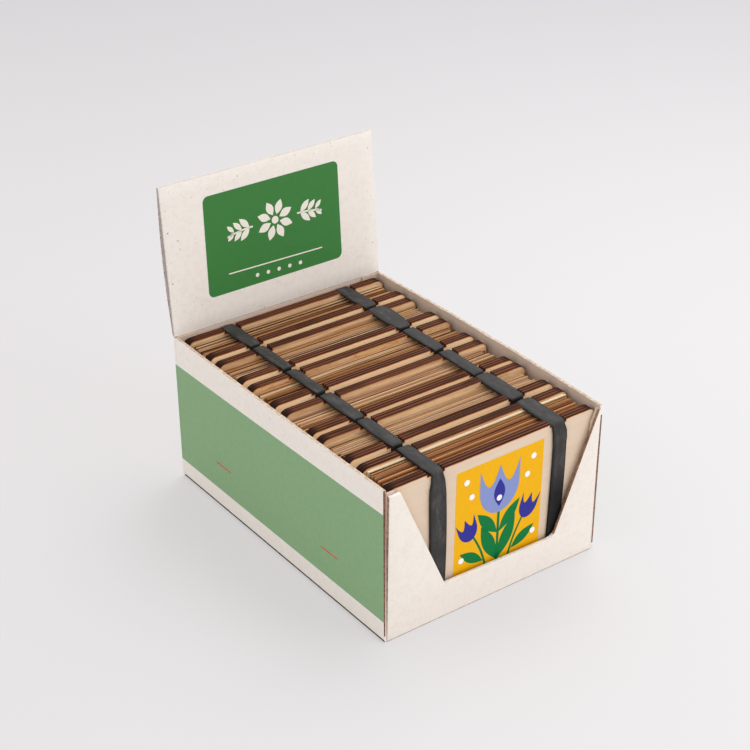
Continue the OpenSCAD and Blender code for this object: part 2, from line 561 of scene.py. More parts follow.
class Effects:
    """Shader node groups that several materials share, each built once."""

    socket_kinds: ClassVar[dict[int, str]] = {1: "Float", 3: "Vector", 4: "Color"}

    @classmethod
    def begin(cls, name: str, inputs: dict[str, Value], outputs: dict[str, str]) -> tuple[Wiring, Node, Node]:
        """Starts a group with its sockets.

        Args:
            name: Name of the group.
            inputs: Starting value of each input, a number, a vector of three or a colour of four.
            outputs: Socket type of each output, Float or Color.

        Returns:
            The wiring of the group, its input node and its output node.
        """
        tree = bpy.data.node_groups.new(name, "ShaderNodeTree")
        for label, start in inputs.items():
            size = 1 if isinstance(start, float) else len(start)
            kind = f"NodeSocket{cls.socket_kinds[size]}"
            socket = tree.interface.new_socket(label, in_out="INPUT", socket_type=kind)
            socket.default_value = start
        for label, kind in outputs.items():
            tree.interface.new_socket(label, in_out="OUTPUT", socket_type=f"NodeSocket{kind}")
        return Wiring(tree), tree.nodes.new("NodeGroupInput"), tree.nodes.new("NodeGroupOutput")

    @classmethod
    @cache
    def outline(cls) -> NodeTree:
        """Distance inside a board's outline from its nearest cut edge."""
        inputs = {
            "Place": ORIGIN, "Half Width": 0.0, "Half Height": 0.0, "Radius": 0.0,
            "Notch Shift": 0.0, "Notch Place": 0.0, "Notch Half": 0.0, "Notch Depth": 0.0,
        }
        w, given, result = cls.begin("outline", inputs, {"Distance": "Float"})
        x, _, z = w.split(given.outputs["Place"])
        across = w.math("ABSOLUTE", x)
        up = w.math("ABSOLUTE", z)
        radius = given.outputs["Radius"]
        side = w.minus(across, w.minus(given.outputs["Half Width"], radius))
        end = w.minus(up, w.minus(given.outputs["Half Height"], radius))
        edge = w.minus(radius, cls.box_distance(w, side, end))
        beside = w.math("ABSOLUTE", w.minus(x, given.outputs["Notch Shift"]))
        from_notch = w.math("ABSOLUTE", w.minus(beside, given.outputs["Notch Place"]))
        notch_side = w.minus(from_notch, given.outputs["Notch Half"])
        floor = w.minus(given.outputs["Half Height"], given.outputs["Notch Depth"])
        notch = cls.box_distance(w, notch_side, w.minus(floor, up))
        w.feed(result.inputs["Distance"], w.math("MINIMUM", edge, notch))
        return w.tree

    @staticmethod
    def box_distance(w: Wiring, first: NodeSocket, second: NodeSocket) -> NodeSocket:
        """Distance from a box's corner region.

        Args:
            w: The wiring of the group.
            first: Distance past the box's one side.
            second: Distance past its other side.

        Returns:
            The distance, which is negative inside the box.
        """
        beyond = [w.math("MAXIMUM", value, 0.0) for value in (first, second)]
        squares = [w.times(value, value) for value in beyond]
        outside = w.math("SQRT", w.plus(*squares))
        inside = w.math("MINIMUM", w.math("MAXIMUM", first, second), 0.0)
        return w.plus(outside, inside)

    @classmethod
    @cache
    def grain(cls) -> NodeTree:
        """Straight wood grain along X with pores and slow bands of colour."""
        wander_scale, wander_reach = (12.0, 40.0, 40.0), 6 * MM
        band_scale, band_share = (14.0, 300.0, 420.0), 0.65
        fibre_scale, fibre_share = (90.0, 2600.0, 2600.0), 0.35
        pore_scale, pore_range = (300.0, 3200.0, 5200.0), (0.64, 0.74)
        tone_range = (0.34, 0.66)
        inputs = {"Place": ORIGIN, "Light": WHITE, "Dark": BLACK, "Contrast": 0.5}
        w, given, result = cls.begin("grain", inputs, {"Color": "Color", "Height": "Float"})
        place = given.outputs["Place"]
        wander = w.noise(w.stretch(place, wander_scale))
        x, y, z = w.split(place)
        drift = w.times(w.minus(wander, 0.5), wander_reach)
        bent = w.node("ShaderNodeCombineXYZ", {0: x, 1: y, 2: w.plus(z, drift)}).outputs[0]
        bands = w.noise(w.stretch(bent, band_scale), detail=3.0, roughness=0.6)
        fibres = w.noise(w.stretch(bent, fibre_scale), detail=2.0, roughness=0.6)
        pores = w.step(w.noise(w.stretch(bent, pore_scale), detail=1.0), *pore_range)
        tone = w.plus(w.times(bands, band_share), w.times(fibres, fibre_share))
        spread = w.step(tone, *tone_range)
        share = w.times(w.math("MAXIMUM", spread, pores), given.outputs["Contrast"])
        w.feed(result.inputs["Color"], w.mix(share, given.outputs["Light"], given.outputs["Dark"]))
        w.feed(result.inputs["Height"], w.minus(fibres, pores))
        return w.tree

    @classmethod
    @cache
    def flecks(cls) -> NodeTree:
        """Recycled board: cloudy white pulp with fibres and scattered dark specks."""
        cloud_scale, pulp_scale, cloud_range = 420.0, 1500.0, (0.4, 0.7)
        shadow = (0.955, 0.945, 0.93, 1.0)
        dust_share, small_share, dent = 0.34, 0.6, 0.5
        inputs = {"Place": ORIGIN, "Base": WHITE, "Fleck": BLACK, "Amount": 1.0}
        w, given, result = cls.begin("flecks", inputs, {"Color": "Color", "Height": "Float"})
        place, base = given.outputs["Place"], given.outputs["Base"]
        cloud = w.noise(place, cloud_scale, detail=4.0, roughness=0.7)
        pulp = w.noise(place, pulp_scale, detail=3.0, roughness=0.6)
        darker = w.mix(1.0, base, shadow, "MULTIPLY")
        white = w.mix(w.step(cloud, *cloud_range), base, darker)
        dust = cls.specks(w, place, scale=1000.0, chance=0.40, size=0.26)
        dust = w.times(dust, dust_share)
        small = cls.specks(w, place, scale=560.0, chance=0.34, size=0.17)
        small = w.times(small, small_share)
        large = cls.specks(w, place, scale=230.0, chance=0.14, size=0.09)
        strength = w.math("MAXIMUM", w.math("MAXIMUM", dust, small), large)
        share = w.times(strength, given.outputs["Amount"])
        w.feed(result.inputs["Color"], w.mix(share, white, given.outputs["Fleck"]))
        w.feed(result.inputs["Height"], w.minus(pulp, w.times(strength, dent)))
        return w.tree

    @staticmethod
    def specks(w: Wiring, place: NodeSocket, scale: float, chance: float, size: float) -> NodeSocket:
        """Specks in a few of the cells of a pattern.

        Args:
            w: The wiring of the group.
            place: Where the pattern is read.
            scale: Cells to a metre.
            chance: Share of the cells that hold a speck.
            size: Radius of the largest speck, as a share of a cell.

        Returns:
            One inside a speck and zero elsewhere.
        """
        wobble_fineness, wobble_share = 3, 0.0016
        smallest, core = 0.25, 0.4
        coarse = {"Vector": place, "Scale": scale * wobble_fineness}
        wobble = w.node("ShaderNodeTexNoise", coarse).outputs["Color"]
        bent = w.node("ShaderNodeMix", {0: wobble_share, 4: place, 5: wobble}, data_type="VECTOR").outputs[1]
        cells = w.node("ShaderNodeTexVoronoi", {"Vector": bent, "Scale": scale})
        luck, breadth, _ = w.split(cells.outputs["Color"])
        chosen = w.math("LESS_THAN", luck, chance)
        reach = w.times(w.plus(breadth, smallest), size)
        dot = w.step(cells.outputs["Distance"], reach, w.times(reach, core))
        return w.times(dot, chosen)

    @classmethod
    @cache
    def streaks(cls) -> NodeTree:
        """Fine lines along X, as on the cut edges of card and on charred wood."""
        broad_scale, broad_share = (4.0, 1900.0, 40.0), 0.6
        fine_scale, fine_share = (12.0, 4600.0, 120.0), 0.4
        tone_range = (0.36, 0.64)
        w, given, result = cls.begin("streaks", {"Place": ORIGIN}, {"Value": "Float"})
        place = given.outputs["Place"]
        broad = w.noise(w.stretch(place, broad_scale), detail=3.0, roughness=0.6)
        fine = w.noise(w.stretch(place, fine_scale), detail=2.0, roughness=0.6)
        total = w.plus(w.times(broad, broad_share), w.times(fine, fine_share))
        w.feed(result.inputs["Value"], w.step(total, *tone_range))
        return w.tree


class Finish:
    """A surface finish that makes its material once."""

    @cache
    def material(self) -> Material:
        """Returns the finish's material, and builds it at its first use."""
        return self.build()

    def build(self) -> Material:
        """Builds the material. Each finish has its own way."""
        raise NotImplementedError

    @staticmethod
    def surface(name: str, roughness: float, specular: float = 0.35) -> tuple[Material, Wiring, Node]:
        """Starts a material.

        Args:
            name: Name of the material.
            roughness: Roughness of its shader.
            specular: Specular level of its shader.

        Returns:
            The material, its wiring and its shader.
        """
        material = bpy.data.materials.new(name)
        material.use_nodes = True
        material.node_tree.nodes.clear()
        w = Wiring(material.node_tree)
        shader = w.node("ShaderNodeBsdfPrincipled", {"Roughness": roughness, "Specular IOR Level": specular})
        w.node("ShaderNodeOutputMaterial", {"Surface": shader.outputs[0]})
        return material, w, shader


@dataclass(frozen=True)
class BoardOutline:
    """Sizes of a board's outline that its finishes follow."""

    width: float
    height: float
    thickness: float
    radius: float = 3.4 * MM
    notch_shift: float = 1.4 * MM
    notch_place: float = 28.2 * MM
    notch_width: float = 7.4 * MM
    notch_depth: float = 1.0 * MM

    def distance(self, w: Wiring) -> NodeSocket:
        """Places the outline group and returns the distance from the cut edge."""
        made = w.effect(
            Effects.outline(), place=w.attribute("place"), half_width=self.width / 2,
            half_height=self.height / 2, radius=self.radius, notch_shift=self.notch_shift,
            notch_place=self.notch_place, notch_half=self.notch_width / 2, notch_depth=self.notch_depth,
        )
        return made.outputs["Distance"]


@dataclass(frozen=True)
class PlywoodFace(Finish):
    """Pale birch veneer that the cutting beam has scorched along the edge."""

    name: str
    outline: BoardOutline
    light: Colour
    dark: Colour
    scorch: Colour = srgb(232, 176, 122)
    singed: Colour = srgb(190, 116, 70)
    char: Colour = srgb(88, 50, 36)
    halo: float = 1.1 * MM
    halo_end: float = 0.3 * MM
    halo_share: float = 0.8
    contrast: float = 0.28
    smoke_scale: Triple = (160.0, 400.0, 400.0)
    smoke_reach: float = 1.2 * MM
    ragged_share: float = 0.3
    singed_range: Point = (0.6 * MM, 0.25 * MM)
    char_range: Point = (0.3 * MM, 0.1 * MM)
    resin: float = 0.0
    stain: Colour = srgb(232, 178, 106)
    stain_scale: Triple = (70.0, 300.0, 380.0)
    stain_range: Point = (0.49, 0.56)
    stain_share: float = 0.45
    vein: Colour = srgb(190, 108, 30)
    vein_level: float = 0.52
    vein_range: Point = (0.022, 0.008)

    def build(self) -> Material:
        """Builds the material."""
        material, w, shader = self.surface(self.name, roughness=0.62)
        place = w.attribute("grain")
        wood = w.effect(
            Effects.grain(), place=place, light=self.light, dark=self.dark, contrast=self.contrast,
        )
        smoke = w.noise(w.stretch(place, self.smoke_scale))
        uneven = w.times(w.minus(smoke, 0.5), self.smoke_reach)
        inward = self.outline.distance(w)
        haze = w.step(w.plus(inward, uneven), self.halo, self.halo_end)
        haze = w.times(haze, self.halo_share)
        warm = w.mix(haze, wood.outputs["Color"], self.scorch)
        ragged = w.plus(inward, w.times(uneven, self.ragged_share))
        warm = w.mix(w.step(ragged, *self.singed_range), warm, self.singed)
        colour = w.mix(w.step(ragged, *self.char_range), warm, self.char)
        if self.resin > 0.0:
            colour = self.stained(w, place, colour)
        w.feed(shader.inputs["Base Color"], colour)
        w.feed(shader.inputs["Normal"], w.bump(wood.outputs["Height"], strength=0.35, distance=0.12 * MM))
        return material

    def stained(self, w: Wiring, place: NodeSocket, colour: NodeSocket) -> NodeSocket:
        """Adds patches and veins of resin.

        Args:
            w: The wiring of the material.
            place: Where the grain is read.
            colour: Colour of the unstained veneer.

        Returns:
            The stained colour.
        """
        stain = w.noise(w.stretch(place, self.stain_scale), detail=5.0, roughness=0.7)
        patch = w.times(w.step(stain, *self.stain_range), self.resin * self.stain_share)
        colour = w.mix(patch, colour, self.stain)
        off_level = w.math("ABSOLUTE", w.minus(stain, self.vein_level))
        return w.mix(w.times(w.step(off_level, *self.vein_range), self.resin), colour, self.vein)


@dataclass(frozen=True)
class BurntEdge(Finish):
    """Charred edge of laser-cut plywood, with its middle ply a little lighter."""

    outline: BoardOutline
    char: Colour = srgb(45, 20, 12)
    ply: Colour = srgb(136, 80, 52)
    corner: Colour = srgb(34, 14, 9)
    corner_reach: Point = (6 * MM, 2 * MM)
    corner_share: float = 0.88
    line_shares: Triple = (0.10, 0.46, 0.84)
    line_width: float = 0.16
    line_core: float = 0.6
    line_wander: float = 0.22
    wander_scale: Triple = (9.0, 30.0, 30.0)
    patch_scale: Triple = (35.0, 120.0, 120.0)
    patch_range: Point = (0.52, 0.36)
    patch_depth: Point = (0.12, 0.7)
    streak_reach: float = 0.6
    streak_least: float = 0.6
    ash: Colour = srgb(132, 80, 52)
    ash_scale: Triple = (2400.0, 500.0, 2400.0)
    ash_range: Point = (0.52, 0.8)
    ash_share: float = 0.3

    def build(self) -> Material:
        """Builds the material."""
        material, w, shader = self.surface("burnt_edge", roughness=0.8, specular=0.12)
        place = w.attribute("place")
        x, depth, _ = w.split(place)
        share = w.math("DIVIDE", depth, self.outline.thickness)
        grain = w.attribute("grain")
        streak = w.effect(Effects.streaks(), place=grain).outputs["Value"]
        patch = w.noise(w.stretch(grain, self.patch_scale))
        wander = w.minus(w.noise(w.stretch(grain, self.wander_scale)), 0.5)
        bent = w.plus(share, w.times(wander, self.line_wander))
        dark = w.step(patch, *self.patch_range, *self.patch_depth)
        for at in self.line_shares:
            away = w.math("ABSOLUTE", w.minus(bent, at))
            line = w.step(away, self.line_width, self.line_width * self.line_core)
            broken = w.step(streak, 0.0, self.streak_reach, self.streak_least, 1.0)
            dark = w.math("MAXIMUM", dark, w.times(line, broken))
        colour = w.mix(dark, self.ply, self.char)
        start, full = (self.outline.width / 2 - reach for reach in self.corner_reach)
        near_end = w.times(w.step(w.math("ABSOLUTE", x), start, full), self.corner_share)
        colour = w.mix(near_end, colour, self.corner)
        ash = w.noise(w.stretch(place, self.ash_scale), detail=3.0, roughness=0.7)
        colour = w.mix(w.times(w.step(ash, *self.ash_range), self.ash_share), colour, self.ash)
        w.feed(shader.inputs["Base Color"], colour)
        w.feed(shader.inputs["Normal"], w.bump(w.plus(ash, streak), strength=0.6, distance=0.2 * MM))
        return material


@dataclass(frozen=True)
class Carton(Finish):
    """White recycled board, flecked, with a printed band across it where it has one."""

    name: str
    base: Colour = srgb(240, 232, 224)
    fleck: Colour = srgb(112, 92, 80)
    amount: float = 0.8
    band: Colour | None = None
    band_fleck: Colour = srgb(96, 122, 90)
    band_amount: float = 0.25
    band_front: Point = (8.9 * MM, 54.5 * MM)
    band_back: Point = (8.1 * MM, 51.9 * MM)
    band_sharp: float = 0.06 * MM
    half_depth: float = 69.5 * MM

    def build(self) -> Material:
        """Builds the material."""
        material, w, shader = self.surface(self.name, roughness=0.78, specular=0.25)
        place = w.object_place()
        board = w.effect(
            Effects.flecks(), place=place, base=self.base, fleck=self.fleck, amount=self.amount,
        )
        colour = board.outputs["Color"]
        if self.band is not None:
            ink = w.effect(
                Effects.flecks(), place=place, base=self.band, fleck=self.band_fleck, amount=self.band_amount,
            )
            colour = w.mix(self.band_mask(w, place), colour, ink.outputs["Color"])
        w.feed(shader.inputs["Base Color"], colour)
        w.feed(shader.inputs["Normal"], w.bump(board.outputs["Height"], strength=0.25, distance=0.08 * MM))
        return material

    def band_mask(self, w: Wiring, place: NodeSocket) -> NodeSocket:
        """Draws the printed band's two slanting lines.

        Args:
            w: The wiring of the material.
            place: The place on the object.

        Returns:
            One between the lines and zero elsewhere.
        """
        _, y, z = w.split(place)
        share = w.math("DIVIDE", w.plus(y, self.half_depth), 2 * self.half_depth)
        masks = []
        for front, back, way in zip(self.band_front, self.band_back, (1.0, -1.0)):
            line = w.plus(w.times(share, back - front), front)
            above = w.times(w.minus(z, line), way)
            masks.append(w.step(above, -self.band_sharp, self.band_sharp))
        return w.times(*masks)


@dataclass(frozen=True)
class RawEdge(Finish):
    """Cut brown edge of the board, with its fibres and a paler skin."""

    name: str = "raw_edge"
    light: Colour = srgb(186, 158, 132)
    dark: Colour = srgb(122, 92, 72)
    fibre_scale: float = 900.0
    fibre_range: Point = (0.38, 0.62)

    def build(self) -> Material:
        """Builds the material."""
        material, w, shader = self.surface(self.name, roughness=0.85, specular=0.2)
        fibre = w.noise(w.object_place(), self.fibre_scale, detail=4.0, roughness=0.7)
        colour = w.mix(w.step(fibre, *self.fibre_range), self.light, self.dark)
        w.feed(shader.inputs["Base Color"], colour)
        w.feed(shader.inputs["Normal"], w.bump(fibre, strength=0.6, distance=0.2 * MM))
        return material


@dataclass(frozen=True)
class SheetStock(Finish):
    """Card and paper seen on edge, in the tint of each sheet, with fibres along it."""

    shadow: Colour = srgb(124, 92, 70)
    shadow_range: Point = (0.5, 0.75)
    gleam: Colour = srgb(250, 224, 184)
    gleam_share: float = 0.7
    gleam_range: Point = (0.3, 0.1)

    def build(self) -> Material:
        """Builds the material. The tint's alpha says how strong the fibres show."""
        material, w, shader = self.surface("sheet_stock", roughness=0.85, specular=0.2)
        tint = w.attribute("tint", "Color")
        strength = w.attribute("tint", "Alpha")
        streak = w.effect(Effects.streaks(), place=w.attribute("grain")).outputs["Value"]
        darker = w.mix(1.0, tint, self.shadow, "MULTIPLY")
        dim = w.times(w.step(streak, *self.shadow_range), strength)
        colour = w.mix(dim, tint, darker)
        paler = w.mix(self.gleam_share, tint, self.gleam)
        pale = w.times(w.step(streak, *self.gleam_range), strength)
        w.feed(shader.inputs["Base Color"], w.mix(pale, colour, paler))
        w.feed(shader.inputs["Normal"], w.bump(streak, strength=0.5, distance=0.15 * MM))
        return material


@dataclass(frozen=True)
class Rubber(Finish):
    """Matt dark rubber with a little dust and fine moulding marks, with painted shade where it meets the next
    band and along its long edges, and painted shade low in the window on the first press's right band.
    """

    base: Colour = srgb(43, 41, 41)
    worn: Colour = srgb(67, 64, 63)
    worn_scale: Triple = (420.0, 150.0, 150.0)
    worn_range: Point = (0.36, 0.68)
    powder: Colour = srgb(118, 112, 108)
    powder_scale: float = 2600.0
    powder_range: Point = (0.28, 0.42)
    powder_share: float = 0.3
    # Near black, painted shade in the gap where two bands meet and along each band's long edges
    seam: Colour = srgb(16, 15, 15)
    side_range: Point = (0.62, 1.0)
    side_share: float = 0.55
    # Near black, painted shade low on the first press's right band where the window's wing shades it
    clean: Colour = srgb(7, 7, 7)
    gloss_range: Point = (0.3, 0.7)
    roughness: Point = (0.52, 0.7)

    def build(self) -> Material:
        """Builds the material."""
        material, w, shader = self.surface("rubber", roughness=0.6, specular=0.3)
        place = w.attribute("place")
        cloud = w.noise(w.stretch(place, self.worn_scale), detail=5.0, roughness=0.65)
        dust = w.noise(place, self.powder_scale, detail=2.0, roughness=0.7)
        colour = w.mix(w.step(cloud, *self.worn_range), self.base, self.worn)
        powder = w.step(w.times(dust, cloud), *self.powder_range)
        colour = w.mix(w.times(powder, self.powder_share), colour, self.powder)
        # The seam attribute carries masks of painted shade: at the next band, along the long edges, and low
        # in the window
        dark, edge, clean = w.split(w.attribute("seam"))
        colour = w.mix(clean, colour, self.clean)
        # Painted shade along the long edges and where the band meets the next one
        sides = w.times(w.step(edge, *self.side_range), self.side_share)
        colour = w.mix(dark, w.mix(sides, colour, self.seam), self.seam)
        w.feed(shader.inputs["Base Color"], colour)
        w.feed(shader.inputs["Roughness"], w.step(cloud, *self.gloss_range, *self.roughness))
        w.feed(shader.inputs["Normal"], w.bump(w.plus(dust, cloud), strength=0.5, distance=0.3 * MM))
        return material


@dataclass(frozen=True)
class Ink(Finish):
    """One flat printed colour that lets a little of what lies under it through."""

    name: str
    colour: Colour
    cloud: float = 0.025
    cloud_gain: float = 5.0
    pulp_scale: float = 700.0
    pulp_range: Point = (0.4, 0.62)
    thinned: Colour = srgb(226, 226, 226)

    def build(self) -> Material:
        """Builds the material."""
        material, w, shader = self.surface(self.name, roughness=0.6, specular=0.15)
        pulp = w.noise(w.object_place(), self.pulp_scale, detail=4.0, roughness=0.6)
        thin = w.mix(1.0, self.colour, self.thinned, "MULTIPLY")
        share = w.times(w.step(pulp, *self.pulp_range), self.cloud * self.cloud_gain)
        w.feed(shader.inputs["Base Color"], w.mix(share, self.colour, thin))
        w.feed(shader.inputs["Normal"], w.bump(pulp, strength=0.12, distance=0.05 * MM))
        return material


@dataclass(frozen=True)
class StudioFloor(Finish):
    """Pale seamless floor, darker far away and to the left as painted shade, which keeps the object's shadow.
    """

    near: Colour = srgb(223, 220, 221)
    away: Point = (0.59, 0.81)
    side_range: Point = (-0.2, 0.2)
    far_range: Point = (0.08, 0.85)
    far: Colour = srgb(204, 202, 204)
    right: Colour = srgb(230, 228, 229)
    own_light: float = 0.5

    def build(self) -> Material:
        """Builds the material."""
        material = bpy.data.materials.new("studio_floor")
        material.use_nodes = True
        material.node_tree.nodes.clear()
        w = Wiring(material.node_tree)
        x, y, _ = w.split(w.object_place())
        across, along = self.away
        away = w.plus(w.times(x, across), w.times(y, along))
        aside = w.minus(w.times(x, along), w.times(y, across))
        # Painted shade: the floor is darker to the left of the object and far away
        colour = w.mix(w.step(aside, *self.side_range), self.near, self.right)
        colour = w.mix(w.step(away, *self.far_range), colour, self.far)
        lit = w.node("ShaderNodeBsdfDiffuse", {"Color": colour})
        glow = w.node("ShaderNodeEmission", {"Color": colour, "Strength": 1.0})
        path = w.node("ShaderNodeLightPath")
        seen = w.math("MAXIMUM", path.outputs["Is Camera Ray"], path.outputs["Is Glossy Ray"])
        seen = w.math("MAXIMUM", seen, path.outputs["Is Transmission Ray"])
        share = w.times(seen, self.own_light)
        both = w.node("ShaderNodeMixShader", {0: share, 1: lit.outputs[0], 2: glow.outputs[0]})
        w.node("ShaderNodeOutputMaterial", {"Surface": both.outputs[0]})
        return material


@dataclass
class Studio:
    """Camera, floor, world and lamps."""

    lens: float = 85.3265
    sensor: float = 36.0
    azimuth: float = -36.2454
    elevation: float = 29.3918
    roll: float = -0.1368
    camera_place: tuple[float, float, float] = (-351.963 * MM, -476.151 * MM, 395.353 * MM)
    floor_size: float = 8.0
    world_strength: float = 0.96
    sky_lamp: tuple[Triple, float, float] = ((0.95, 0.45, 1.35), 1.2, 9.0)
    front_lamp: tuple[Triple, float, float] = ((0.85, -1.25, 0.9), 1.0, 4.6)

    def build(self) -> None:
        """Makes the whole studio."""
        self.camera()
        self.floor()
        self.world()
        self.lamp("sky_lamp", *self.sky_lamp)
        self.lamp("front_lamp", *self.front_lamp)

    def camera(self) -> None:
        """Places the camera where the photograph was taken from."""
        azimuth, elevation, roll = (math.radians(a) for a in (self.azimuth, self.elevation, self.roll))
        right = Vector((math.cos(azimuth), math.sin(azimuth), 0.0))
        back = Vector((
            math.sin(azimuth) * math.cos(elevation), -math.cos(azimuth) * math.cos(elevation),
            math.sin(elevation),
        ))
        up = back.cross(right)
        turned = right * math.cos(roll) + up * math.sin(roll)
        upright = up * math.cos(roll) - right * math.sin(roll)
        data = bpy.data.cameras.new("camera")
        data.lens, data.sensor_width = self.lens, self.sensor
        camera = bpy.data.objects.new("camera", data)
        bpy.context.scene.collection.objects.link(camera)
        pose = Matrix((turned, upright, back)).transposed().to_4x4()
        camera.matrix_world = Matrix.Translation(self.camera_place) @ pose
        bpy.context.scene.camera = camera

    def floor(self) -> None:
        """Lays the floor."""
        Bench.clear()
        bpy.ops.mesh.primitive_plane_add(size=self.floor_size)
        floor = bpy.context.object
        floor.name = "studio_floor"
        floor.data.materials.append(StudioFloor().material())

    def world(self) -> None:
        """Lights the room evenly with white."""
        world = bpy.data.worlds.new("studio")
        world.use_nodes = True
        background = world.node_tree.nodes["Background"]
        background.inputs["Color"].default_value = WHITE
        background.inputs["Strength"].default_value = self.world_strength
        bpy.context.scene.world = world
        bpy.context.scene.view_settings.view_transform = "Standard"

    def lamp(self, name: str, place: Triple, size: float, power: float) -> None:
        """Hangs a soft square lamp that faces the object.

        Args:
            name: Name of the lamp.
            place: Where it hangs.
            size: Side of its square.
            power: Its power in watts.
        """
        data = bpy.data.lights.new(name, "AREA")
        data.size, data.energy = size, power
        lamp = bpy.data.objects.new(name, data)
        bpy.context.scene.collection.objects.link(lamp)
        lamp.location = place
        lamp.rotation_euler = Vector(place).to_track_quat("Z", "Y").to_euler()


@dataclass(frozen=True)
class Corners:
    """Lowest and highest corner of a solid."""

    low: Vector
    high: Vector

    @classmethod
    def around(cls, points: Sequence[Vector]) -> "Corners":
        """Box round some points."""
        spans = [[point[axis] for point in points] for axis in (X, Y, Z)]
        return cls(Vector([min(span) for span in spans]), Vector([max(span) for span in spans]))

    @classmethod
    def of(cls, node: str) -> "Corners":
        """Box of a node as it stands."""
        return cls(*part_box(node))

    @property
    def middle(self) -> Vector:
        """Middle of the box."""
        return (self.low + self.high) / 2

    @property
    def size(self) -> Vector:
        """Size of the box."""
        return self.high - self.low


@dataclass
class Tray:
    """Folded card tray with two long sides, a back, a low front and glued corner tabs."""

    wall: float = 1.3 * MM
    front_lean: float = 1.0
    back_lean: float = -0.8
    front_recess: float = 0.75 * MM
    front_advance: float = 0.5 * MM
    undercut: float = 0.35 * MM
    undercut_height: float = 1.25 * MM
    sill_undercut: float = 0.3 * MM
    end_foot: float = 2.6 * MM
    recess_foot: float = 0.3
    left_end: Point = (0.65 * MM, 1.1 * MM)
    right_end: Point = (0.8 * MM, 1.22 * MM)
    right_head: float = 4.0 * MM
    window_flare: float = 0.8 * MM
    flare_height: float = 3.0 * MM
    soft_edge: float = 0.14 * MM
    soft_steps: int = 2
    side_cuts: tuple[int, int] = (47, 15)
    back_cuts: tuple[int, int] = (15, 11)
    front_rows: int = 12
    end_share: float = 0.35
    left_bow: float = 0.35 * MM
    right_bow: float = 1.3 * MM
    rim_rag: float = 0.22 * MM
    rag_scale: Triple = (900.0, 260.0, 3.7)
    rag_power: int = 12
    slit_length: float = 10.0 * MM
    slit_width: float = 0.68 * MM
    slit_height: float = 20.0 * MM
    slit_depth: float = 0.15 * MM
    slit_shares: tuple[float, ...] = (0.24, 0.76)
    slit_margin: float = 0.01 * MM
    left_wing: float = 5.0 * MM
    left_drop: float = 0.9 * MM
    right_wing: float = 1.0 * MM
    sill: float = 14.9 * MM
    sill_fall: float = 1.1 * MM
    sill_left: float = 27.0 * MM
    sill_right: float = 20.5 * MM
    sill_soft: float = 4.2 * MM
    sill_soft_rise: float = 1.9 * MM
    sill_turn: float = 0.73 * MM
    sill_steps: int = 8
    overrun: float = 1.0 * MM
    outside: Carton = Carton("carton_outside", amount=0.4)
    inside: Carton = Carton("carton_inside", base=srgb(208, 187, 171), fleck=srgb(120, 94, 78), amount=1.0)
    printed: Carton = Carton("carton_printed", band=srgb(137, 171, 128))
    edge: RawEdge = RawEdge()
    trim: RawEdge = RawEdge("trim_edge", light=srgb(252, 244, 238), dark=srgb(238, 226, 216))
    corner: RawEdge = RawEdge("corner_edge", light=srgb(150, 114, 92), dark=srgb(104, 74, 58))
    # Raw edge darkened to near black: painted contact shadow along the sides' undercut foot
    contact: RawEdge = RawEdge("contact_edge", light=srgb(74, 58, 49), dark=srgb(40, 31, 27))
    rim: RawEdge = RawEdge("rim_edge", light=srgb(222, 206, 190), dark=srgb(190, 164, 138))
    # Cut face of the window's right slope, partly raw brown board and partly painted shade along the wing's
    # edge
    slope: RawEdge = RawEdge("slope_edge", light=srgb(176, 140, 112), dark=srgb(132, 96, 72))
    slit: RawEdge = RawEdge("slit_edge", light=srgb(222, 116, 96), dark=srgb(196, 88, 70))

    def build(self) -> None:
        """Builds and dresses every panel."""
        left = SidePanel(self, "tray_left_side", -1, self.left_end, 0.0, self.left_bow, self.rim_rag)
        left.build("left_panel")
        right = SidePanel(
            self, "tray_right_side", 1, self.right_end, self.right_head, self.right_bow, self.rim_rag * 2,
        )
        right.build("right_panel")
        self.front()
        self.back()
        for node in ("tray_base", "front_corner_tabs", "back_corner_tabs"):
            self.dress_node(node)

    def dress_node(self, node: str) -> None:
        """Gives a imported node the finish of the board's inside."""
        Bench.paint(frame["nodes"][node], (self.inside,))
        LOG.info("dressed %s", node)

    def finish(self, piece: Object, node: str) -> None:
        """Smooths a panel and hands it to the frame in place of its node."""
        Bench.smooth(piece)
        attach(piece, "tray")
        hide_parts(node)
        LOG.info("built %s", piece.name)

    def window(self, box: Corners) -> list[Point]:
        """Draws the front window.

        Args:
            box: Box of the front panel.

        Returns:
            Its outline, from its upper left corner down and round.
        """
        top = box.high.z + self.overrun
        left, right = box.low.x, box.high.x
        half = right + self.wall
        low = self.sill - self.sill_fall
        corner = (half - self.sill_right - self.sill_soft, low)
        turn = (half - self.sill_right - self.sill_turn, low)
        up = (half - self.sill_right, low + self.sill_soft_rise)
        reach = (right - self.right_wing, box.high.z)
        curve = [bezier(corner, turn, up, step / self.sill_steps) for step in range(self.sill_steps + 1)]
        wing = box.high.z - self.left_drop
        return [
            (left - self.overrun, top), (left - self.overrun, wing), (left + self.left_wing, wing),
            (self.sill_left - half, self.sill), *curve, reach, (reach[0], top),
        ]

    def flare(self, place: Vector) -> Vector:
        """Widens the back of the window's cut at its right slope, so that the cut face turns away."""
        rise = ramp(place.z, self.sill - self.sill_fall, self.flare_height)
        share = rise if place.x > 0 and place.y > -self.overrun else 0.0
        return place + Vector((self.window_flare * share, 0, 0))

    def front(self) -> None:
        """Builds the front panel with its window."""
        box = Corners.of("tray_front_panel")
        slope = math.tan(math.radians(self.front_lean))
        foot = box.low.y + slope * box.high.z
        inner = foot + self.wall
        panel = Bench.block("front_panel", (box.low.x, foot, 0), (box.high.x, inner, box.high.z))
        cutter = Bench.cutout("window", self.window(box), self.wall + 2 * self.overrun)
        Bench.reshape(cutter, self.flare)
        Bench.shift(cutter, (0, inner + self.overrun, 0))
        Bench.cut(panel, cutter)
        Bench.bevel(panel, is_crease, self.soft_edge, self.soft_steps)
        rows = (box.high.z * share / self.front_rows for share in range(1, self.front_rows))
        Bench.slice(panel, Z, [self.sill_undercut, *rows])

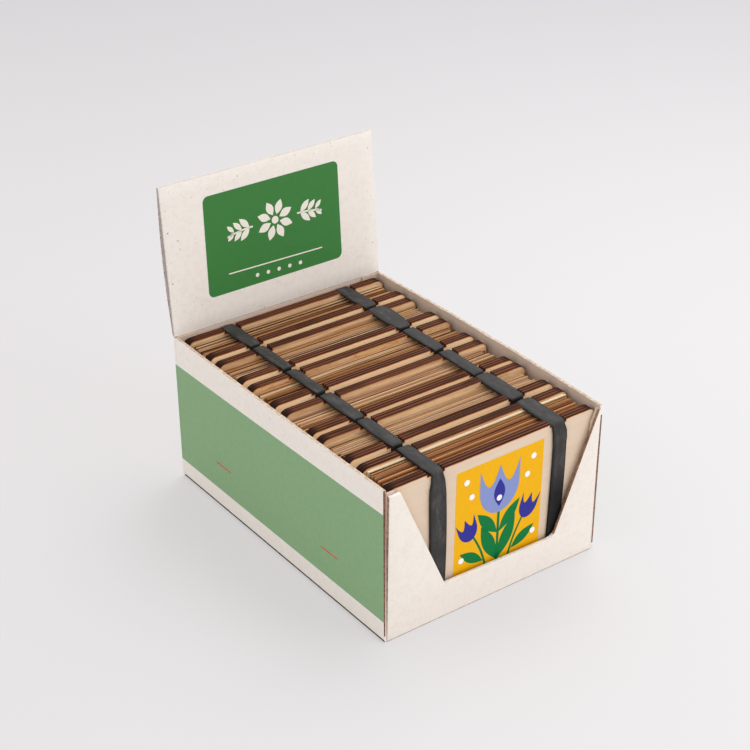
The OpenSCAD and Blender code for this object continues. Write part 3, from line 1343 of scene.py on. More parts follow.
        def pick(face: object) -> Finish:
            """Finish of an outer face, an inner face, a cut edge, a torn edge or the right slope."""
            if face.center.z < self.sill_undercut and face.normal.y < -LEANS:
                return self.edge
            if abs(face.normal.y) > FACES:
                return self.outside if face.normal.y < 0 else self.inside
            # The right slope's cut face takes the darker slope finish, partly raw board and partly painted
            # shade
            if face.center.x > 0 and face.normal.x < -LEANS and face.center.z > self.sill:
                return self.slope
            torn = abs(face.center.x) > box.high.x - self.right_wing / 2
            return self.edge if torn else self.trim

        Bench.paint(panel, (self.outside, self.inside, self.trim, self.edge, self.slope), pick)
        Bench.reshape(panel, lambda place: place - Vector((0, slope * place.z, 0)))
        self.finish(panel, "tray_front_panel")

    def back(self) -> None:
        """Builds the back panel."""
        box = Corners.of("tray_back_panel")
        slope = math.tan(math.radians(self.back_lean))
        panel = Bench.block("back_panel", box.low, (box.high.x, box.low.y + self.wall, box.high.z))
        Bench.bevel(panel, lambda edge: True, self.soft_edge, self.soft_steps)
        Bench.divide(panel, X, self.back_cuts[0])
        Bench.divide(panel, Z, self.back_cuts[1])

        def pick(face: object) -> Finish:
            """Finish of an outer face, an inner face, a printed end or a cut edge."""
            if abs(face.normal.x) > self.end_share:
                return self.printed
            if abs(face.normal.y) > FACES:
                return self.outside if face.normal.y > 0 else self.inside
            return self.edge

        Bench.paint(panel, (self.outside, self.inside, self.edge, self.printed), pick)
        Bench.reshape(panel, lambda place: place - Vector((0, slope * place.z, 0)))
        self.finish(panel, "tray_back_panel")


@dataclass
class SidePanel:
    """One long side of the tray, with its closed slits, its bow and its worn rim."""

    tray: Tray
    node: str
    way: int
    end: Point
    head_drop: float
    bow: float
    rag: float
    box: Corners = field(init=False)
    lean: float = field(init=False)
    foot: float = field(init=False)
    outer: float = field(init=False)
    seam: float = field(init=False)
    head: float = field(init=False)
    grooves: list[tuple[Vector, Vector]] = field(init=False)

    def __post_init__(self) -> None:
        """Works out the places that its faces and its bend follow. Way is -1 for the left side."""
        self.box = Corners.of(self.node)
        self.lean = math.tan(math.radians(-self.tray.back_lean))
        self.foot = self.box.high.y - self.lean * self.box.size.z
        self.outer = self.box.low.x if self.way < 0 else self.box.high.x
        self.seam = self.outer - self.way * sum(self.end) / 2
        self.head = self.box.high.z - self.head_drop
        self.grooves = self.slits()

    def slits(self) -> list[tuple[Vector, Vector]]:
        """Corners of the shallow grooves that mark each closed slit on both faces."""
        tray, box, found = self.tray, self.box, []
        faces = (
            (box.low.x - tray.overrun, box.low.x + tray.slit_depth),
            (box.high.x - tray.slit_depth, box.high.x + tray.overrun),
        )
        for share in tray.slit_shares:
            middle = box.low.y * (1 - 2 * share)
            for low, high in faces:
                found.append((
                    Vector((low, middle - tray.slit_length / 2, tray.slit_height)),
                    Vector((high, middle + tray.slit_length / 2, tray.slit_height + tray.slit_width)),
                ))
        return found

    def build(self, name: str) -> None:
        """Builds the side under a name."""
        tray, box = self.tray, self.box
        panel = Bench.block(name, box.low, (box.high.x, self.foot, box.high.z))
        Bench.bevel(panel, lambda edge: True, tray.soft_edge, tray.soft_steps)
        Bench.divide(panel, Y, tray.side_cuts[0])
        Bench.divide(panel, Z, tray.side_cuts[1])
        Bench.slice(panel, X, (self.seam,))
        Bench.slice(panel, Z, (tray.undercut_height, tray.end_foot, self.head - tray.soft_edge))
        for low, high in self.grooves:
            Bench.cut(panel, Bench.block("slit", low, high))
        finishes = (
            tray.printed, tray.inside, tray.rim, tray.edge, tray.slit, tray.outside, tray.corner,
            tray.contact,
        )
        Bench.paint(panel, finishes, self.pick)
        Bench.reshape(panel, self.settle)
        tray.finish(panel, self.node)

    def in_groove(self, place: Vector) -> bool:
        """Says whether a place lies in one of the grooves."""
        near = self.tray.slit_margin
        return any(
            all(low[a] - near < place[a] < high[a] + near for a in (X, Y, Z)) for low, high in self.grooves
        )

    def pick(self, face: object) -> Finish:
        """Finish of a face: slit, undercut, broad face, white or brown end, rim or cut edge."""
        tray, outwards, middle = self.tray, face.normal.x * self.way, face.center
        if self.in_groove(middle):
            return tray.slit
        # The undercut foot takes the darkened edge, painted contact shadow
        if outwards > LEANS and middle.z < tray.undercut_height:
            return tray.contact
        if abs(outwards) > SQUARE:
            return tray.printed if outwards > 0 else tray.inside
        if face.normal.y < -LEANS:
            brown = (middle.x - self.seam) * self.way > 0 and tray.end_foot < middle.z < self.head
            return tray.corner if brown else tray.outside
        return tray.rim if face.normal.z > LEANS and middle.z > self.box.high.z / 2 else tray.edge

    def settle(self, place: Vector) -> Vector:
        """Leans the back end, bows the rim, wears it and draws the front end back."""
        tray, way = self.tray, self.way
        along = (place.y - self.box.low.y) / (self.foot - self.box.low.y)
        up = place.z / self.box.high.z
        x = place.x
        if abs(x - self.seam) < HAIR:
            x = self.outer - way * (self.end[0] + (self.end[1] - self.end[0]) * up)
        x += way * self.bow * math.sin(math.pi * along) * up ** 2
        x -= way * tray.undercut * max(0.0, 1 - place.z / tray.undercut_height)
        grain_x, grain_y, grain_z = tray.rag_scale
        worn = noise.noise(Vector((place.x * grain_x, place.y * grain_y, grain_z * way))) * self.rag
        recess = tray.front_recess * (tray.recess_foot + (1 - tray.recess_foot) * up)
        shift = recess if way < 0 else -tray.front_advance * up
        y = place.y + along * self.lean * place.z + (1 - along) * shift
        return Vector((x, y, place.z - max(0.0, worn) * up ** tray.rag_power))


class Stencil:
    """Outlines of the printed motifs, in metres on x and z."""

    @staticmethod
    def place(outline: Iterable[Point], at: Point, turn: float = 0.0) -> list[Point]:
        """Turns an outline about its foot by degrees to the left and moves it."""
        c, s = math.cos(math.radians(turn)), math.sin(math.radians(turn))
        return [(at[0] + x * c - z * s, at[1] + x * s + z * c) for x, z in outline]

    @staticmethod
    def disc(radius: float, count: int = 28) -> list[Point]:
        """Round spot about its middle."""
        turns = (2 * math.pi * i / count for i in range(count))
        return [(radius * math.cos(t), radius * math.sin(t)) for t in turns]

    @staticmethod
    def leaf(length: float, width: float, count: int = 12) -> list[Point]:
        """Almond leaf of a length and width that grows up from its foot, with count steps a side."""
        shares = [i / count for i in range(count + 1)]
        right = [(width / 2 * math.sin(math.pi * s), length * s) for s in shares]
        return right + [(-x, z) for x, z in reversed(right[1:-1])]

    @staticmethod
    def tulip(width: float, height: float, count: int = 36) -> list[Point]:
        """Three-pointed tulip head on its foot.

        Args:
            width: Width of the head.
            height: Height of its points.
            count: Number of steps along the points.

        Returns:
            The outline.
        """
        cup, valley, bowl_steps = 0.56 * height, 0.6, 20
        turns = [math.pi * i / bowl_steps for i in range(bowl_steps + 1)]
        bowl = [(width / 2 * math.cos(t), cup - cup * math.sin(t)) for t in turns]
        shares = [-1 + 2 * i / count for i in range(count + 1)]
        peaks = [1 - abs(math.sin(math.pi * s)) for s in shares]
        return bowl + [
            (width / 2 * s, height * (valley + (1 - valley) * peak)) for s, peak in zip(shares, peaks)
        ]

    @staticmethod
    def stem(length: float, width: float, bend: float = 0.0, count: int = 10) -> list[Point]:
        """Stem of a length and width that grows up from its foot and bends sideways by its end."""
        shares = [i / count for i in range(count + 1)]
        line = [(bend * s ** 2, length * s) for s in shares]
        return [(x + width / 2, z) for x, z in line] + [(x - width / 2, z) for x, z in reversed(line)]

    @staticmethod
    def panel(corners: Sequence[Point], radius: float, count: int = 7) -> list[Point]:
        """Four-cornered panel with round corners.

        Args:
            corners: Its corners, left to right and bottom to top.
            radius: Radius of the round corners.
            count: Number of steps round each of them.

        Returns:
            The outline.
        """
        (x0, z0), (x1, z1), (x2, z2), (x3, z3) = corners
        width, height = (x1 - x0 + x3 - x2) / 2, (z2 - z0 + z3 - z1) / 2
        outline = []
        for quarter, (side, end) in enumerate(((1, 1), (0, 1), (0, 0), (1, 0))):
            for i in range(count + 1):
                turn = math.pi / 2 * (quarter + i / count)
                a = side + (radius * math.cos(turn) - (radius if side else -radius)) / width
                b = end + (radius * math.sin(turn) - (radius if end else -radius)) / height
                low = (x0 + (x1 - x0) * a, z0 + (z1 - z0) * a)
                high = (x2 + (x3 - x2) * a, z2 + (z3 - z2) * a)
                outline.append(tuple(p + (q - p) * b for p, q in zip(low, high)))
        return outline


@dataclass(frozen=True)
class Sprig:
    """Ornament of the header: a blossom between two sprigs, over a rule and a row of dots."""

    middle: Point = (0.6 * MM, 36.0 * MM)
    heart: float = 1.6 * MM
    petals: int = 8
    petal: Point = (6.4 * MM, 3.4 * MM)
    petal_foot: float = 2.3 * MM
    stem: Triple = (12.0 * MM, 0.7 * MM, 1.6 * MM)
    stem_start: float = 10.6 * MM
    leaf_lengths: Triple = (6.4 * MM, 5.4 * MM, 4.4 * MM)
    leaf_width_share: float = 0.42
    leaf_start: float = 1.6 * MM
    leaf_step: float = 3.6 * MM
    leaf_drop: float = 0.1 * MM
    leaf_turn: float = 46.0
    rule: tuple[Point, ...] = (
        (-22.9 * MM, 18.9 * MM), (22.1 * MM, 18.1 * MM), (22.1 * MM, 18.6 * MM), (-22.9 * MM, 19.4 * MM),
    )
    dot: float = 0.85 * MM
    dot_steps: int = 16
    dot_height: float = 14.9 * MM
    dot_pitch: float = 5.2 * MM
    dot_drop: float = 0.09 * MM

    def shapes(self) -> list[list[Point]]:
        """Outlines of the whole ornament."""
        blossom = [Stencil.place(Stencil.disc(self.heart), self.middle)]
        for petal in range(self.petals):
            turn = (petal + 0.5) * 360 / self.petals
            foot = Stencil.place([(0.0, self.petal_foot)], self.middle, turn)[0]
            blossom.append(Stencil.place(Stencil.leaf(*self.petal), foot, turn))
        x = self.middle[0]
        dots = [
            Stencil.place(
                Stencil.disc(self.dot, self.dot_steps),
                (x + self.dot_pitch * i, self.dot_height - self.dot_drop * i),
            )
            for i in range(-2, 3)
        ]
        return [*blossom, *self.branch(-1), *self.branch(1), list(self.rule), *dots]

    def branch(self, side: int) -> list[list[Point]]:
        """Outlines of the sprig on one side, -1 for the left."""
        length, width, bend = self.stem
        start, high = self.middle[0] + side * self.stem_start, self.middle[1]
        shapes = [Stencil.place(Stencil.stem(length, width, side * bend), (start, high), -side * 90)]
        for step, size in enumerate(self.leaf_lengths):
            root = (start + side * (self.leaf_start + self.leaf_step * step), high - self.leaf_drop * step)
            for way in (-1, 1):
                leaf = Stencil.leaf(size, size * self.leaf_width_share)
                shapes.append(Stencil.place(leaf, root, -side * 90 + way * self.leaf_turn))
        return shapes


@dataclass
class Header:
    """Two-layer header card with a printed label, hinged on the tray's crease."""

    lean: float = -5.0
    thickness: float = 0.9 * MM
    height: float = 61.8 * MM
    bow: float = 1.7 * MM
    soft_edge: float = 0.12 * MM
    soft_steps: int = 2
    columns: int = 15
    face_rows: int = 11
    back_rows: int = 23
    crease_lap: float = 0.3 * MM
    crease_inset: float = 1.0 * MM
    crease_set_back: float = 0.2 * MM
    crease_depth: float = 0.25 * MM
    crease_cuts: int = 5
    ink: float = 0.04 * MM
    label: tuple[Point, ...] = (
        (-32.8 * MM, 11.4 * MM), (31.6 * MM, 11.5 * MM), (-31.6 * MM, 53.5 * MM), (32.3 * MM, 53.4 * MM),
    )
    label_radius: float = 2.5 * MM
    carton: Carton = Carton("header_card", base=srgb(244, 237, 230), amount=1.0)
    inner: Carton = Carton("header_inside", base=srgb(206, 196, 190), fleck=srgb(120, 96, 80))
    fold: RawEdge = RawEdge("header_fold", light=srgb(224, 215, 206), dark=srgb(206, 194, 184))
    edge: RawEdge = RawEdge("header_edge", light=srgb(240, 232, 226), dark=srgb(206, 192, 182))
    grey_edge: RawEdge = RawEdge("header_grey_edge", light=srgb(196, 186, 182), dark=srgb(124, 104, 92))
    green: Ink = Ink("label_green", srgb(64, 128, 65), 0.03)
    cream: Ink = Ink("label_cream", srgb(244, 238, 226))
    foot: Vector = field(init=False)
    half: float = field(init=False)

    def __post_init__(self) -> None:
        """Finds where the header stands."""
        box = Corners.of("header_front_card")
        self.foot = Vector((0.0, box.low.y, box.low.z))
        self.half = box.high.x

    def build(self) -> None:
        """Builds both layers, the crease, the label and its ornament."""
        self.card("header_face", "header_front_card", self.face_rows, self.edge, -1)
        self.card("header_back", "header_back_card", self.back_rows, self.grey_edge, 1)
        self.crease()
        self.label_print()

    def lean_back(self, piece: Object) -> None:
        """Leans a piece that was modelled upright on the header's foot."""
        Bench.shift(piece, self.foot)
        Bench.tilt(piece, math.radians(self.lean), self.foot)

    def finish(self, piece: Object) -> None:
        """Leans a piece, smooths it and lets it ride on the header."""
        self.lean_back(piece)
        Bench.smooth(piece)
        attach(piece, "header")
        LOG.info("built %s", piece.name)

    def card(self, name: str, node: str, rows: int, edge: RawEdge, way: int) -> None:
        """Builds one of the two layers.

        Args:
            name: Name of the piece.
            node: Node that it replaces.
            rows: Number of cuts up its height.
            edge: Finish of its cut edges.
            way: -1 for the front layer and 1 for the back one, which bows away from it.
        """
        card = Bench.block(name, (-self.half, 0, 0), (self.half, self.thickness, self.height))
        Bench.bevel(card, lambda line: True, self.soft_edge, self.soft_steps)
        Bench.divide(card, X, self.columns)
        Bench.divide(card, Z, rows)

        def pick(face: object) -> Finish:
            """Finish of the white outer face, the grey inner face, the folded top or a cut edge."""
            if abs(face.normal.y) > FACES:
                return self.carton if face.normal.y * way > 0 else self.inner
            return self.fold if face.normal.z > LEANS and face.center.z > self.height / 2 else edge

        Bench.paint(card, (self.carton, edge, self.inner, self.fold), pick)
        if way > 0:
            Bench.reshape(card, self.bulge)
        self.finish(card)
        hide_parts(node)

    def bulge(self, place: Vector) -> Vector:
        """Moves the back layer behind the front one and bows it."""
        share = ramp(place.z, 0.0, self.height)
        return place + Vector((0, self.thickness + self.bow * math.sin(math.pi * share), 0))

    def crease(self) -> None:
        """Builds the creased strip that joins the header to the tray."""
        tray_top = Corners.of("tray_back_panel").high.z
        y, half = self.foot.y + self.crease_set_back, self.half - self.crease_inset
        low, high = tray_top - self.crease_lap, self.foot.z + self.crease_lap
        strip = Bench.block("header_crease", (-half, y, low), (half, y + self.crease_depth, high))
        Bench.divide(strip, Z, self.crease_cuts)
        Bench.paint(strip, (self.carton,))
        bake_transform(strip)
        LOG.info("built %s", strip.name)

    def label_print(self) -> None:
        """Prints the green panel and its generic sprig, rule and row of dots."""
        panel = Bench.cutout("header_label", Stencil.panel(self.label, self.label_radius), self.ink)
        Bench.paint(panel, (self.green,))
        self.finish(panel)
        parts = [Bench.cutout("ornament", shape, self.ink) for shape in Sprig().shapes()]
        ornament = Bench.join("header_ornament", parts)
        Bench.shift(ornament, (0, -self.ink, 0))
        Bench.paint(ornament, (self.cream,))
        self.finish(ornament)


@dataclass
class BoardPattern:
    """Outline of a plywood board, cut once and copied for every press."""

    outline: BoardOutline
    char_edge: float = 0.16 * MM
    char_steps: int = 2
    corner_steps: int = 7
    overrun: float = 1.0 * MM
    board: Object = field(init=False)

    @classmethod
    def measured(cls) -> "BoardPattern":
        """Takes the board's size from the first press."""
        size = PressPlace(1).box("front_board").size
        return cls(BoardOutline(size.x, size.z, size.y))

    def __post_init__(self) -> None:
        """Cuts the pattern, with its foot at the origin."""
        o = self.outline
        self.board = Bench.block("board_pattern", (-o.width / 2, 0, 0), (o.width / 2, o.thickness, o.height))
        Bench.bevel(self.board, lambda edge: runs_along(edge, Y), o.radius, self.corner_steps)
        for side in (-1, 1):
            self.notches(o.notch_shift + side * o.notch_place)
        Bench.bevel(self.board, self.on_face, self.char_edge, self.char_steps)

    def notches(self, x: float) -> None:
        """Cuts the lower and the upper notch of one band, whose middle is at x."""
        o = self.outline
        spans = ((-self.overrun, o.notch_depth), (o.height - o.notch_depth, o.height + self.overrun))
        for low, high in spans:
            cutter = Bench.block(
                "notch", (x - o.notch_width / 2, -self.overrun, low),
                (x + o.notch_width / 2, o.thickness + self.overrun, high),
            )
            Bench.cut(self.board, cutter)

    def on_face(self, edge: object) -> bool:
        """Says whether an edge lies on the rim of a broad face."""
        a, b = (vertex.co.y for vertex in edge.verts)
        flat = (0.0, self.outline.thickness)
        return is_crease(edge) and any(abs(a - y) < HAIR and abs(b - y) < HAIR for y in flat)

    def cut(self, name: str, place: Vector) -> Object:
        """Copies the pattern under a name to a place."""
        board = Bench.copy(self.board, name)
        Bench.shift(board, place)
        return board

    def discard(self) -> None:
        """Throws the pattern away."""
        bpy.data.objects.remove(self.board)


@dataclass
class PressPlace:
    """Where one press stands, and its nodes' boxes with the press upright."""

    number: int
    face_gap: float = 0.02 * MM
    lean: float = field(init=False)

    def __post_init__(self) -> None:
        """Finds the lean of the press from the way it lifts."""
        joint = next(j for j in frame["joints"] if j["name"] == f"press_{self.number}_lift")
        _, forward, up = joint["axis"]
        self.lean = math.atan2(-forward, up)

    def points(self, stem: str) -> list[Vector]:
        """Corners of a node with the press upright."""
        upright = Matrix.Rotation(-self.lean, 3, "X")
        return [upright @ vertex.co for vertex in frame["nodes"][f"{stem}_{self.number}"].data.vertices]

    def box(self, stem: str) -> Corners:
        """Box of a node with the press upright."""
        return Corners.around(self.points(stem))

    def layers(self, stem: str) -> list[Corners]:
        """Boxes of a node's sheets from the front, with the press upright."""
        points = sorted(self.points(stem), key=lambda point: point.y)
        faces = [[points[0]]]
        for point in points[1:]:
            if point.y - faces[-1][-1].y > self.face_gap:
                faces.append([])
            faces[-1].append(point)
        return [Corners.around(front + back) for front, back in zip(faces[::2], faces[1::2])]


@dataclass(frozen=True)
class PressLook:
    """What is a press's own: the tones of its sheets from the front, and how its bands lie."""

    papers: tuple[Tone, ...]
    cards: tuple[Tone, ...]
    rise: float
    left_band: float
    right_band: float
    tall_paper: float = 0.0


def tones(names: str) -> tuple[Tone, ...]:
    """Reads the names of some tones."""
    return tuple(Tone[name.upper()] for name in names.split())


LOOKS = (
    PressLook(
        tones("gold pale brown olive brown olive cream cream"), tones("olive brown olive"),
        rise=1.9 * MM, left_band=0.87, right_band=1.10, tall_paper=0.6 * MM,
    ),
    PressLook(
        tones("brown pale sand grey sand grey grey sand"), tones("sand grey sand"),
        rise=1.0 * MM, left_band=0.84, right_band=1.02,
    ),
    PressLook(
        tones("brown olive pale olive grey sand brown grey"), tones("olive sand grey"),
        rise=0.5 * MM, left_band=0.82, right_band=0.82,
    ),
    PressLook(
        tones("gold olive brown sand pale sand sand pale"), tones("gold olive sand"),
        rise=1.1 * MM, left_band=0.70, right_band=0.84,
    ),
    PressLook(
        tones("pale sand olive pale grey olive brown olive"), tones("sand grey olive"),
        rise=0.8 * MM, left_band=0.76, right_band=1.14,
    ),
    PressLook(
        tones("sand brown olive brown olive olive olive dark"), tones("olive brown olive"),
        rise=1.2 * MM, left_band=0.88, right_band=0.98,
    ),
)


@dataclass(frozen=True)
class BandFit:
    """How a band lies where two presses meet: its shift to the right, and its share of the full width."""

    shift: float
    width: float


BAND_FITS = {
    -1: (
        BandFit(1.3 * MM, 0.84), BandFit(0.6 * MM, 0.80), BandFit(0.3 * MM, 0.76), BandFit(0.2 * MM, 0.70),
        BandFit(0.1 * MM, 0.66), BandFit(0.1 * MM, 0.74), BandFit(0.0, 0.80),
    ),
    1: (
        BandFit(0.8 * MM, 1.02), BandFit(0.4 * MM, 0.96), BandFit(0.3 * MM, 0.82), BandFit(0.2 * MM, 0.74),
        BandFit(0.2 * MM, 0.84), BandFit(0.0, 0.94), BandFit(-0.1 * MM, 0.90),
    ),
}


@dataclass
class Press:
    """One pocket press: two boards, a pair of bands, cards, papers and a cover print."""

    number: int
    pattern: BoardPattern
    seed: int = 40
    board_face: float = 0.8
    resin_board: tuple[int, int] = (4, 1)
    resin: float = 0.75
    walls: int = 2
    liner: float = 0.25 * MM
    flute: float = 0.2 * MM
    flute_pitch: float = 3.2 * MM
    flute_columns: int = 8
    flute_rows: int = 210
    flute_shade: float = 0.75
    flute_luck: float = 0.7
    sheet_cuts: tuple[int, int] = (23, 5)
    card_luck: float = 0.35 * MM
    paper_luck: float = 0.45 * MM
    paper_fibre: float = 0.3
    tall_papers: int = 2
    tone_range: Point = (0.82, 1.12)
    sway: float = 0.14 * MM
    sway_waves: Triple = (95.0, 210.0, 60.0)
    sway_share: float = 0.6
    ragged: float = 0.5 * MM
    print_width: float = 40.7 * MM
    print_height: float = 54.0 * MM
    print_shift: float = 3.0 * MM
    print_drop: float = 4.9 * MM
    ink: float = 0.05 * MM
    ink_rise: float = 0.6
    place: PressPlace = field(init=False)
    look: PressLook = field(init=False)
    luck: random.Random = field(init=False)

    def __post_init__(self) -> None:
        """Finds where the press stands and what is its own."""
        self.place = PressPlace(self.number)
        self.look = LOOKS[(self.number - 1) % len(LOOKS)]
        self.luck = random.Random(self.seed + self.number)

    def build(self) -> None:
        """Builds every piece of the press."""
        self.board("front_board", "front_plywood", -1)
        self.board("back_board", "back_plywood", 1)
        Band(self, "left_band", self.look.left_band, -1).build("left_rubber")
        Band(self, "right_band", self.look.right_band, 1).build("right_rubber")
        bend = self.warp()
        self.cards(bend)
        self.papers(bend)
        self.cover_print()

    def settle(self, piece: Object) -> None:
        """Leans a piece that was modelled upright and lets it ride on the press."""
        Bench.tilt(piece, self.place.lean)
        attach(piece, f"press_{self.number}")
        LOG.info("built %s", piece.name)

    def finish(self, piece: Object, slot: str, node: str) -> None:
        """Settles a piece and hands it to the frame in place of its node."""
        self.settle(piece)
        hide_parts(f"{node}_{self.number}")

    def veneers(self, way: int) -> tuple[PlywoodFace, PlywoodFace]:
        """Finishes of a board's outer and inner face, with way -1 for the front board."""
        outline = self.pattern.outline
        outer = PlywoodFace("birch_veneer", outline, light=srgb(225, 203, 180), dark=srgb(210, 183, 155))
        if self.number > 1 and way < 0:
            outer = PlywoodFace(
                "birch_warm", outline, light=srgb(250, 224, 186), dark=srgb(238, 204, 160),
                scorch=srgb(244, 192, 134), halo=1.4 * MM,
            )
        resin = self.resin if (self.number, way) == self.resin_board else 0.0
        inner = PlywoodFace(
            "birch_resin" if resin else "birch_inside", outline, light=srgb(245, 212, 166),
            dark=srgb(176, 132, 90), scorch=srgb(214, 160, 106), halo=1.0 * MM, contrast=0.9, resin=resin,
        )
        return outer, inner

    def board(self, node: str, name: str, way: int) -> None:
        """Builds a board.

        Args:
            node: Stem of the node that it replaces.
            name: Stem of the piece's name.
            way: -1 where the outer face looks to the front and 1 where it looks back.
        """
        box = self.place.box(node)
        board = self.pattern.cut(f"{name}_{self.number}", Vector((box.middle.x, box.low.y, box.low.z)))
        outer_y = box.low.y if way < 0 else box.high.y
        offset = Vector([self.luck.uniform(-1, 1) for _ in range(3)])

        def place_rule(place: Vector) -> Vector:
            """Place from the board's middle and its outer face."""
            return Vector((place.x - box.middle.x, abs(place.y - outer_y), place.z - box.middle.z))

        Bench.note(board, "place", place_rule)
        Bench.note(board, "grain", lambda place: place_rule(place) + offset)
        outer, inner = self.veneers(way)
        burnt = BurntEdge(self.pattern.outline)

        def pick(face: object) -> Finish:
            """Finish of the outer face, the inner face or the burnt edge."""
            if abs(face.normal.y) > self.board_face:
                return outer if face.normal.y * way > 0 else inner
            return burnt

        Bench.paint(board, (outer, inner, burnt), pick)
        Bench.smooth(board)
        self.finish(board, "plywood", node)

    def warp(self) -> Callable[[Vector], Vector]:
        """Makes the slow wave that all the sheets share, and that is least beside the boards."""
        stack = Corners.around(self.place.points("corrugated_cards") + self.place.points("blotting_papers"))
        phase = [self.luck.uniform(0, math.tau) for _ in range(3)]
        middle, half = stack.middle.y, stack.size.y / 2
        slow, quick, upright = self.sway_waves
        share = self.sway_share

        def bend(place: Vector) -> Vector:
            """Moves a point forwards or back with the wave."""
            away = (place.y - middle) / half
            wave = math.sin(slow * place.x + phase[0]) * share
            wave += math.sin(quick * place.x + phase[1]) * (1 - share)
            lift = share + (1 - share) * math.cos(upright * place.z + phase[2])
            return place + Vector((0, self.sway * (1 - away * away) * wave * lift, 0))

        return bend

    def slab(self, low: Sequence[float], high: Sequence[float], tone: Colour) -> Object:
        """Cuts one flat sheet of card or paper, a little longer or shorter at each end.

        Args:
            low: Its lowest corner.
            high: Its highest corner.
            tone: Its colour, with the fibres' strength as its alpha.

        Returns:
            The sheet.
        """
        ends = [Vector((self.luck.uniform(-self.ragged, self.ragged), 0, 0)) for _ in range(2)]
        sheet = Bench.block("sheet", Vector(low) + ends[0], Vector(high) + ends[1])
        Bench.divide(sheet, X, self.sheet_cuts[0])
        Bench.divide(sheet, Z, self.sheet_cuts[1])
        Bench.tint(sheet, tone)
        return sheet

    def shade(self, tone: Tone, depth: float = 1.0, fibre: float = 1.0) -> Colour:
        """Varies a tone a little, at a share of its light, with the fibres' strength as its alpha."""
        gain = self.luck.uniform(*self.tone_range) * depth
        return (*(min(1.0, channel * gain) for channel in tone.value[:3]), fibre)

    def wave_sheet(self, low: Vector, high: Vector, tone: Colour) -> Object:
        """Bends the waved layer of a card, whose flutes run along X.

        Args:
            low: Lowest corner of the room between the liners.
            high: Highest corner of that room.
            tone: Its colour, with the fibres' strength as its alpha.

        Returns:
            The waved sheet.
        """
        sheet = Bench.sheet("flutes", high.x - low.x, high.z - low.z, self.flute_columns, self.flute_rows)
        Bench.shift(sheet, (low.x, (low.y + high.y) / 2, low.z))
        reach = (high.y - low.y) / 2 - self.flute / 2
        phase = math.pi / 2 + self.luck.uniform(-self.flute_luck, self.flute_luck)

        def wave(place: Vector) -> Vector:
            """Moves a point to the wave."""
            turn = math.tau * (high.z - place.z) / self.flute_pitch + phase
            return place + Vector((0, reach * math.cos(turn), 0))

        Bench.reshape(sheet, wave)
        Bench.modify(sheet, "SOLIDIFY", thickness=self.flute, offset=0.0)
        Bench.tint(sheet, tone)
        return sheet

    def dress_sheets(
        self, name: str, parts: list[Object], slot: str, node: str, bend: Callable[[Vector], Vector],
    ) -> None:
        """Joins sheets, bends them together and finishes them.

        Args:
            name: Stem of the piece's name.
            parts: The sheets.
            slot: Name of a material slot; not used.
            node: Stem of the node that it replaces.
            bend: The wave that they share.
        """
        sheets = Bench.join(f"{name}_{self.number}", parts)
        offset = Vector([self.luck.uniform(-1, 1) for _ in range(3)])
        Bench.note(sheets, "grain", lambda place: place + offset)
        Bench.reshape(sheets, bend)
        Bench.paint(sheets, (SheetStock(),))
        Bench.smooth(sheets)
        self.finish(sheets, slot, node)

    def cards(self, bend: Callable[[Vector], Vector]) -> None:
        """Builds the corrugated cards, each of flat liners with waved sheets between them."""
        parts = []
        for box, tone in zip(self.place.layers("corrugated_cards"), self.look.cards):
            rise = self.look.rise + self.luck.uniform(-self.card_luck, self.card_luck)
            low, high = box.low, box.high + Vector((0, 0, rise))
            step = (high.y - low.y - self.liner) / self.walls
            for wall in range(self.walls + 1):
                front = Vector((low.x, low.y + wall * step, low.z))
                back = Vector((high.x, front.y + self.liner, high.z))
                parts.append(self.slab(front, back, self.shade(tone)))
            for wall in range(self.walls):
                front = Vector((low.x, low.y + wall * step + self.liner, low.z))
                back = Vector((high.x, low.y + (wall + 1) * step, high.z))
                # The waved sheets take a dimmed tone, painted shade for their recess between the liners
                parts.append(self.wave_sheet(front, back, self.shade(tone, self.flute_shade)))
        self.dress_sheets("cards", parts, "corrugated_card", "corrugated_cards", bend)

    def papers(self, bend: Callable[[Vector], Vector]) -> None:
        """Builds the blotting papers, the last ones a little taller."""
        parts = []
        layers = self.place.layers("blotting_papers")
        for index, (box, tone) in enumerate(zip(layers, self.look.papers)):
            rise = self.look.rise + self.luck.uniform(-self.paper_luck, self.paper_luck)
            if index >= len(layers) - self.tall_papers:
                rise += self.look.tall_paper
            high = box.high + Vector((0, 0, rise))
            parts.append(self.slab(box.low, high, self.shade(tone, fibre=self.paper_fibre)))
        self.dress_sheets("papers", parts, "blotting_paper", "blotting_papers", bend)

    def cover_print(self) -> None:
        """Prints a generic bunch of tulips on the front board."""
        box = self.place.box("front_board")
        foot = (box.middle.x + self.print_shift, box.high.z - self.print_drop - self.print_height)
        parts = []
        for depth, (ink, shapes) in enumerate(CoverDesign(self.print_width, self.print_height).layers()):
            for shape in shapes:
                outline = [(foot[0] + x, foot[1] + z) for x, z in shape]
                part = Bench.cutout("motif", outline, self.ink)
                Bench.shift(part, (0, box.low.y - depth * self.ink * self.ink_rise, 0))
                Bench.paint(part, (ink,))
                parts.append(part)
        cover = Bench.join(f"cover_print_{self.number}", parts)
        self.settle(cover)


